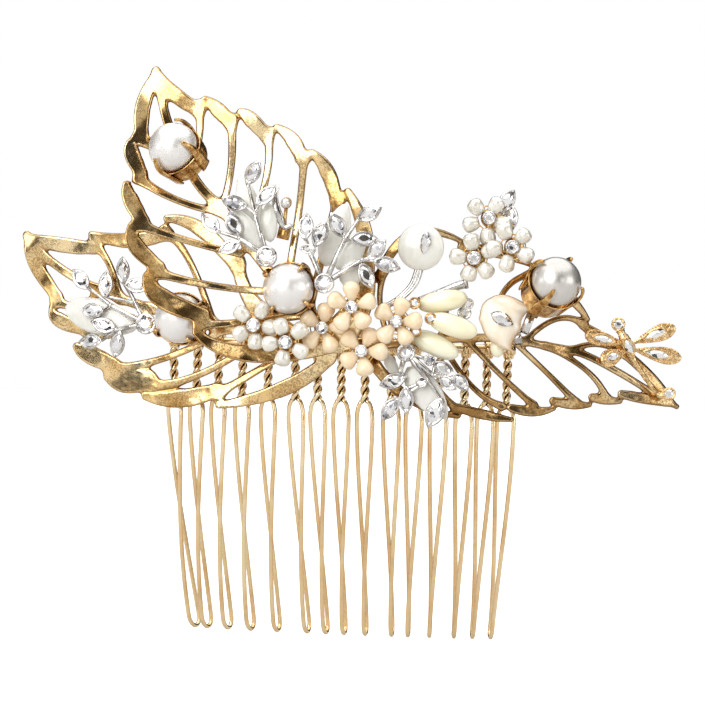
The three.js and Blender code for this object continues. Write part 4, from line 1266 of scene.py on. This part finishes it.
# What the metal reflects. Each card is a direction, the cosine to it where the card starts to show,
# the cosine where it shows fully, and its colour.
STUDIO_CARDS = [
    ((0.0, 1.0, 0.0), -0.05, 0.3, (0.03, 0.025, 0.02)),
    ((0.0, 0.1, 1.0), 0.62, 0.75, (1.6, 1.6, 1.6)),
    ((-0.4, -0.9, 0.42), 0.915, 0.935, (3.6, 3.6, 3.55)),
    ((-0.28, -0.95, -0.16), 0.97, 0.98, (3.6, 3.6, 3.55)),
    ((0.95, -0.3, 0.1), 0.94, 0.965, (2.2, 2.2, 2.2)),
    ((-0.9, -0.45, 0.0), 0.96, 0.975, (2.0, 2.0, 2.0)),
    ((0.5, -0.84, 0.2), 0.9, 0.93, (0.05, 0.04, 0.03)),
    ((-0.68, -0.73, -0.1), 0.965, 0.98, (0.03, 0.025, 0.02)),
    ((0.1, -0.6, -0.8), 0.8, 0.9, (0.08, 0.07, 0.06)),
]


def make_world():
    """Pure white to the camera, and a room of light and dark cards in the reflections."""
    world = bpy.data.worlds.new("studio")
    bpy.context.scene.world = world
    world.use_nodes = True
    tree = world.node_tree
    tree.nodes.clear()
    facing = add_node(tree, "TexCoord").outputs["Generated"]
    colour = STUDIO_GREY
    for direction, fade, full, card in STUDIO_CARDS:
        cosine = add_node(tree, "VectorMath", {0: facing, 1: tuple(unit(direction))},
                          operation="DOT_PRODUCT").outputs["Value"]
        cover = add_node(tree, "MapRange", {"Value": cosine, "From Min": fade, "From Max": full},
                         interpolation_type="SMOOTHSTEP").outputs["Result"]
        colour = mixed(tree, cover, colour, card)
    studio = add_node(tree, "Background", {"Color": colour})
    white = add_node(tree, "Background", {"Color": (1, 1, 1, 1)})
    mix = add_node(tree, "MixShader", {
        "Fac": add_node(tree, "LightPath").outputs["Is Camera Ray"],
        1: studio.outputs["Background"], 2: white.outputs["Background"]})
    add_node(tree, "OutputWorld", {"Surface": mix.outputs["Shader"]})


def area_light(name, place_m, size_m, watts):
    """Square lamp aimed at the origin."""
    light = bpy.data.lights.new(name, "AREA")
    light.size = size_m
    light.energy = watts
    lamp = add_object(name, light)
    lamp.location = place_m
    lamp.rotation_euler = (-Vector(place_m)).to_track_quat("-Z", "Y").to_euler()


def make_camera():
    azimuth, roll = math.radians(CAMERA_AZIMUTH), math.radians(CAMERA_ROLL)
    across = Vector((math.cos(azimuth), math.sin(azimuth), 0))
    back = Vector((math.sin(azimuth), -math.cos(azimuth), 0))
    upward = Vector((0, 0, 1))
    target = (across * CAMERA_TARGET[0] + upward * CAMERA_TARGET[1]) * MM
    right = across * math.cos(roll) + upward * math.sin(roll)
    top = upward * math.cos(roll) - across * math.sin(roll)
    data = bpy.data.cameras.new("camera")
    data.sensor_width = 36
    data.lens = CAMERA_LENS
    data.clip_start = 0.01
    data.clip_end = 20
    camera = add_object("camera", data)
    rotation = Matrix((right, top, back)).transposed().to_4x4()
    camera.matrix_world = Matrix.Translation(target + back * CAMERA_DISTANCE * MM) @ rotation
    bpy.context.scene.camera = camera


make_stage()
make_world()
area_light("key", (-0.35, -0.55, 0.5), 0.35, 0.9)
area_light("fill", (0.5, -0.6, 0.15), 0.25, 0.3)
make_camera()
bpy.context.scene.view_settings.view_transform = "Standard"
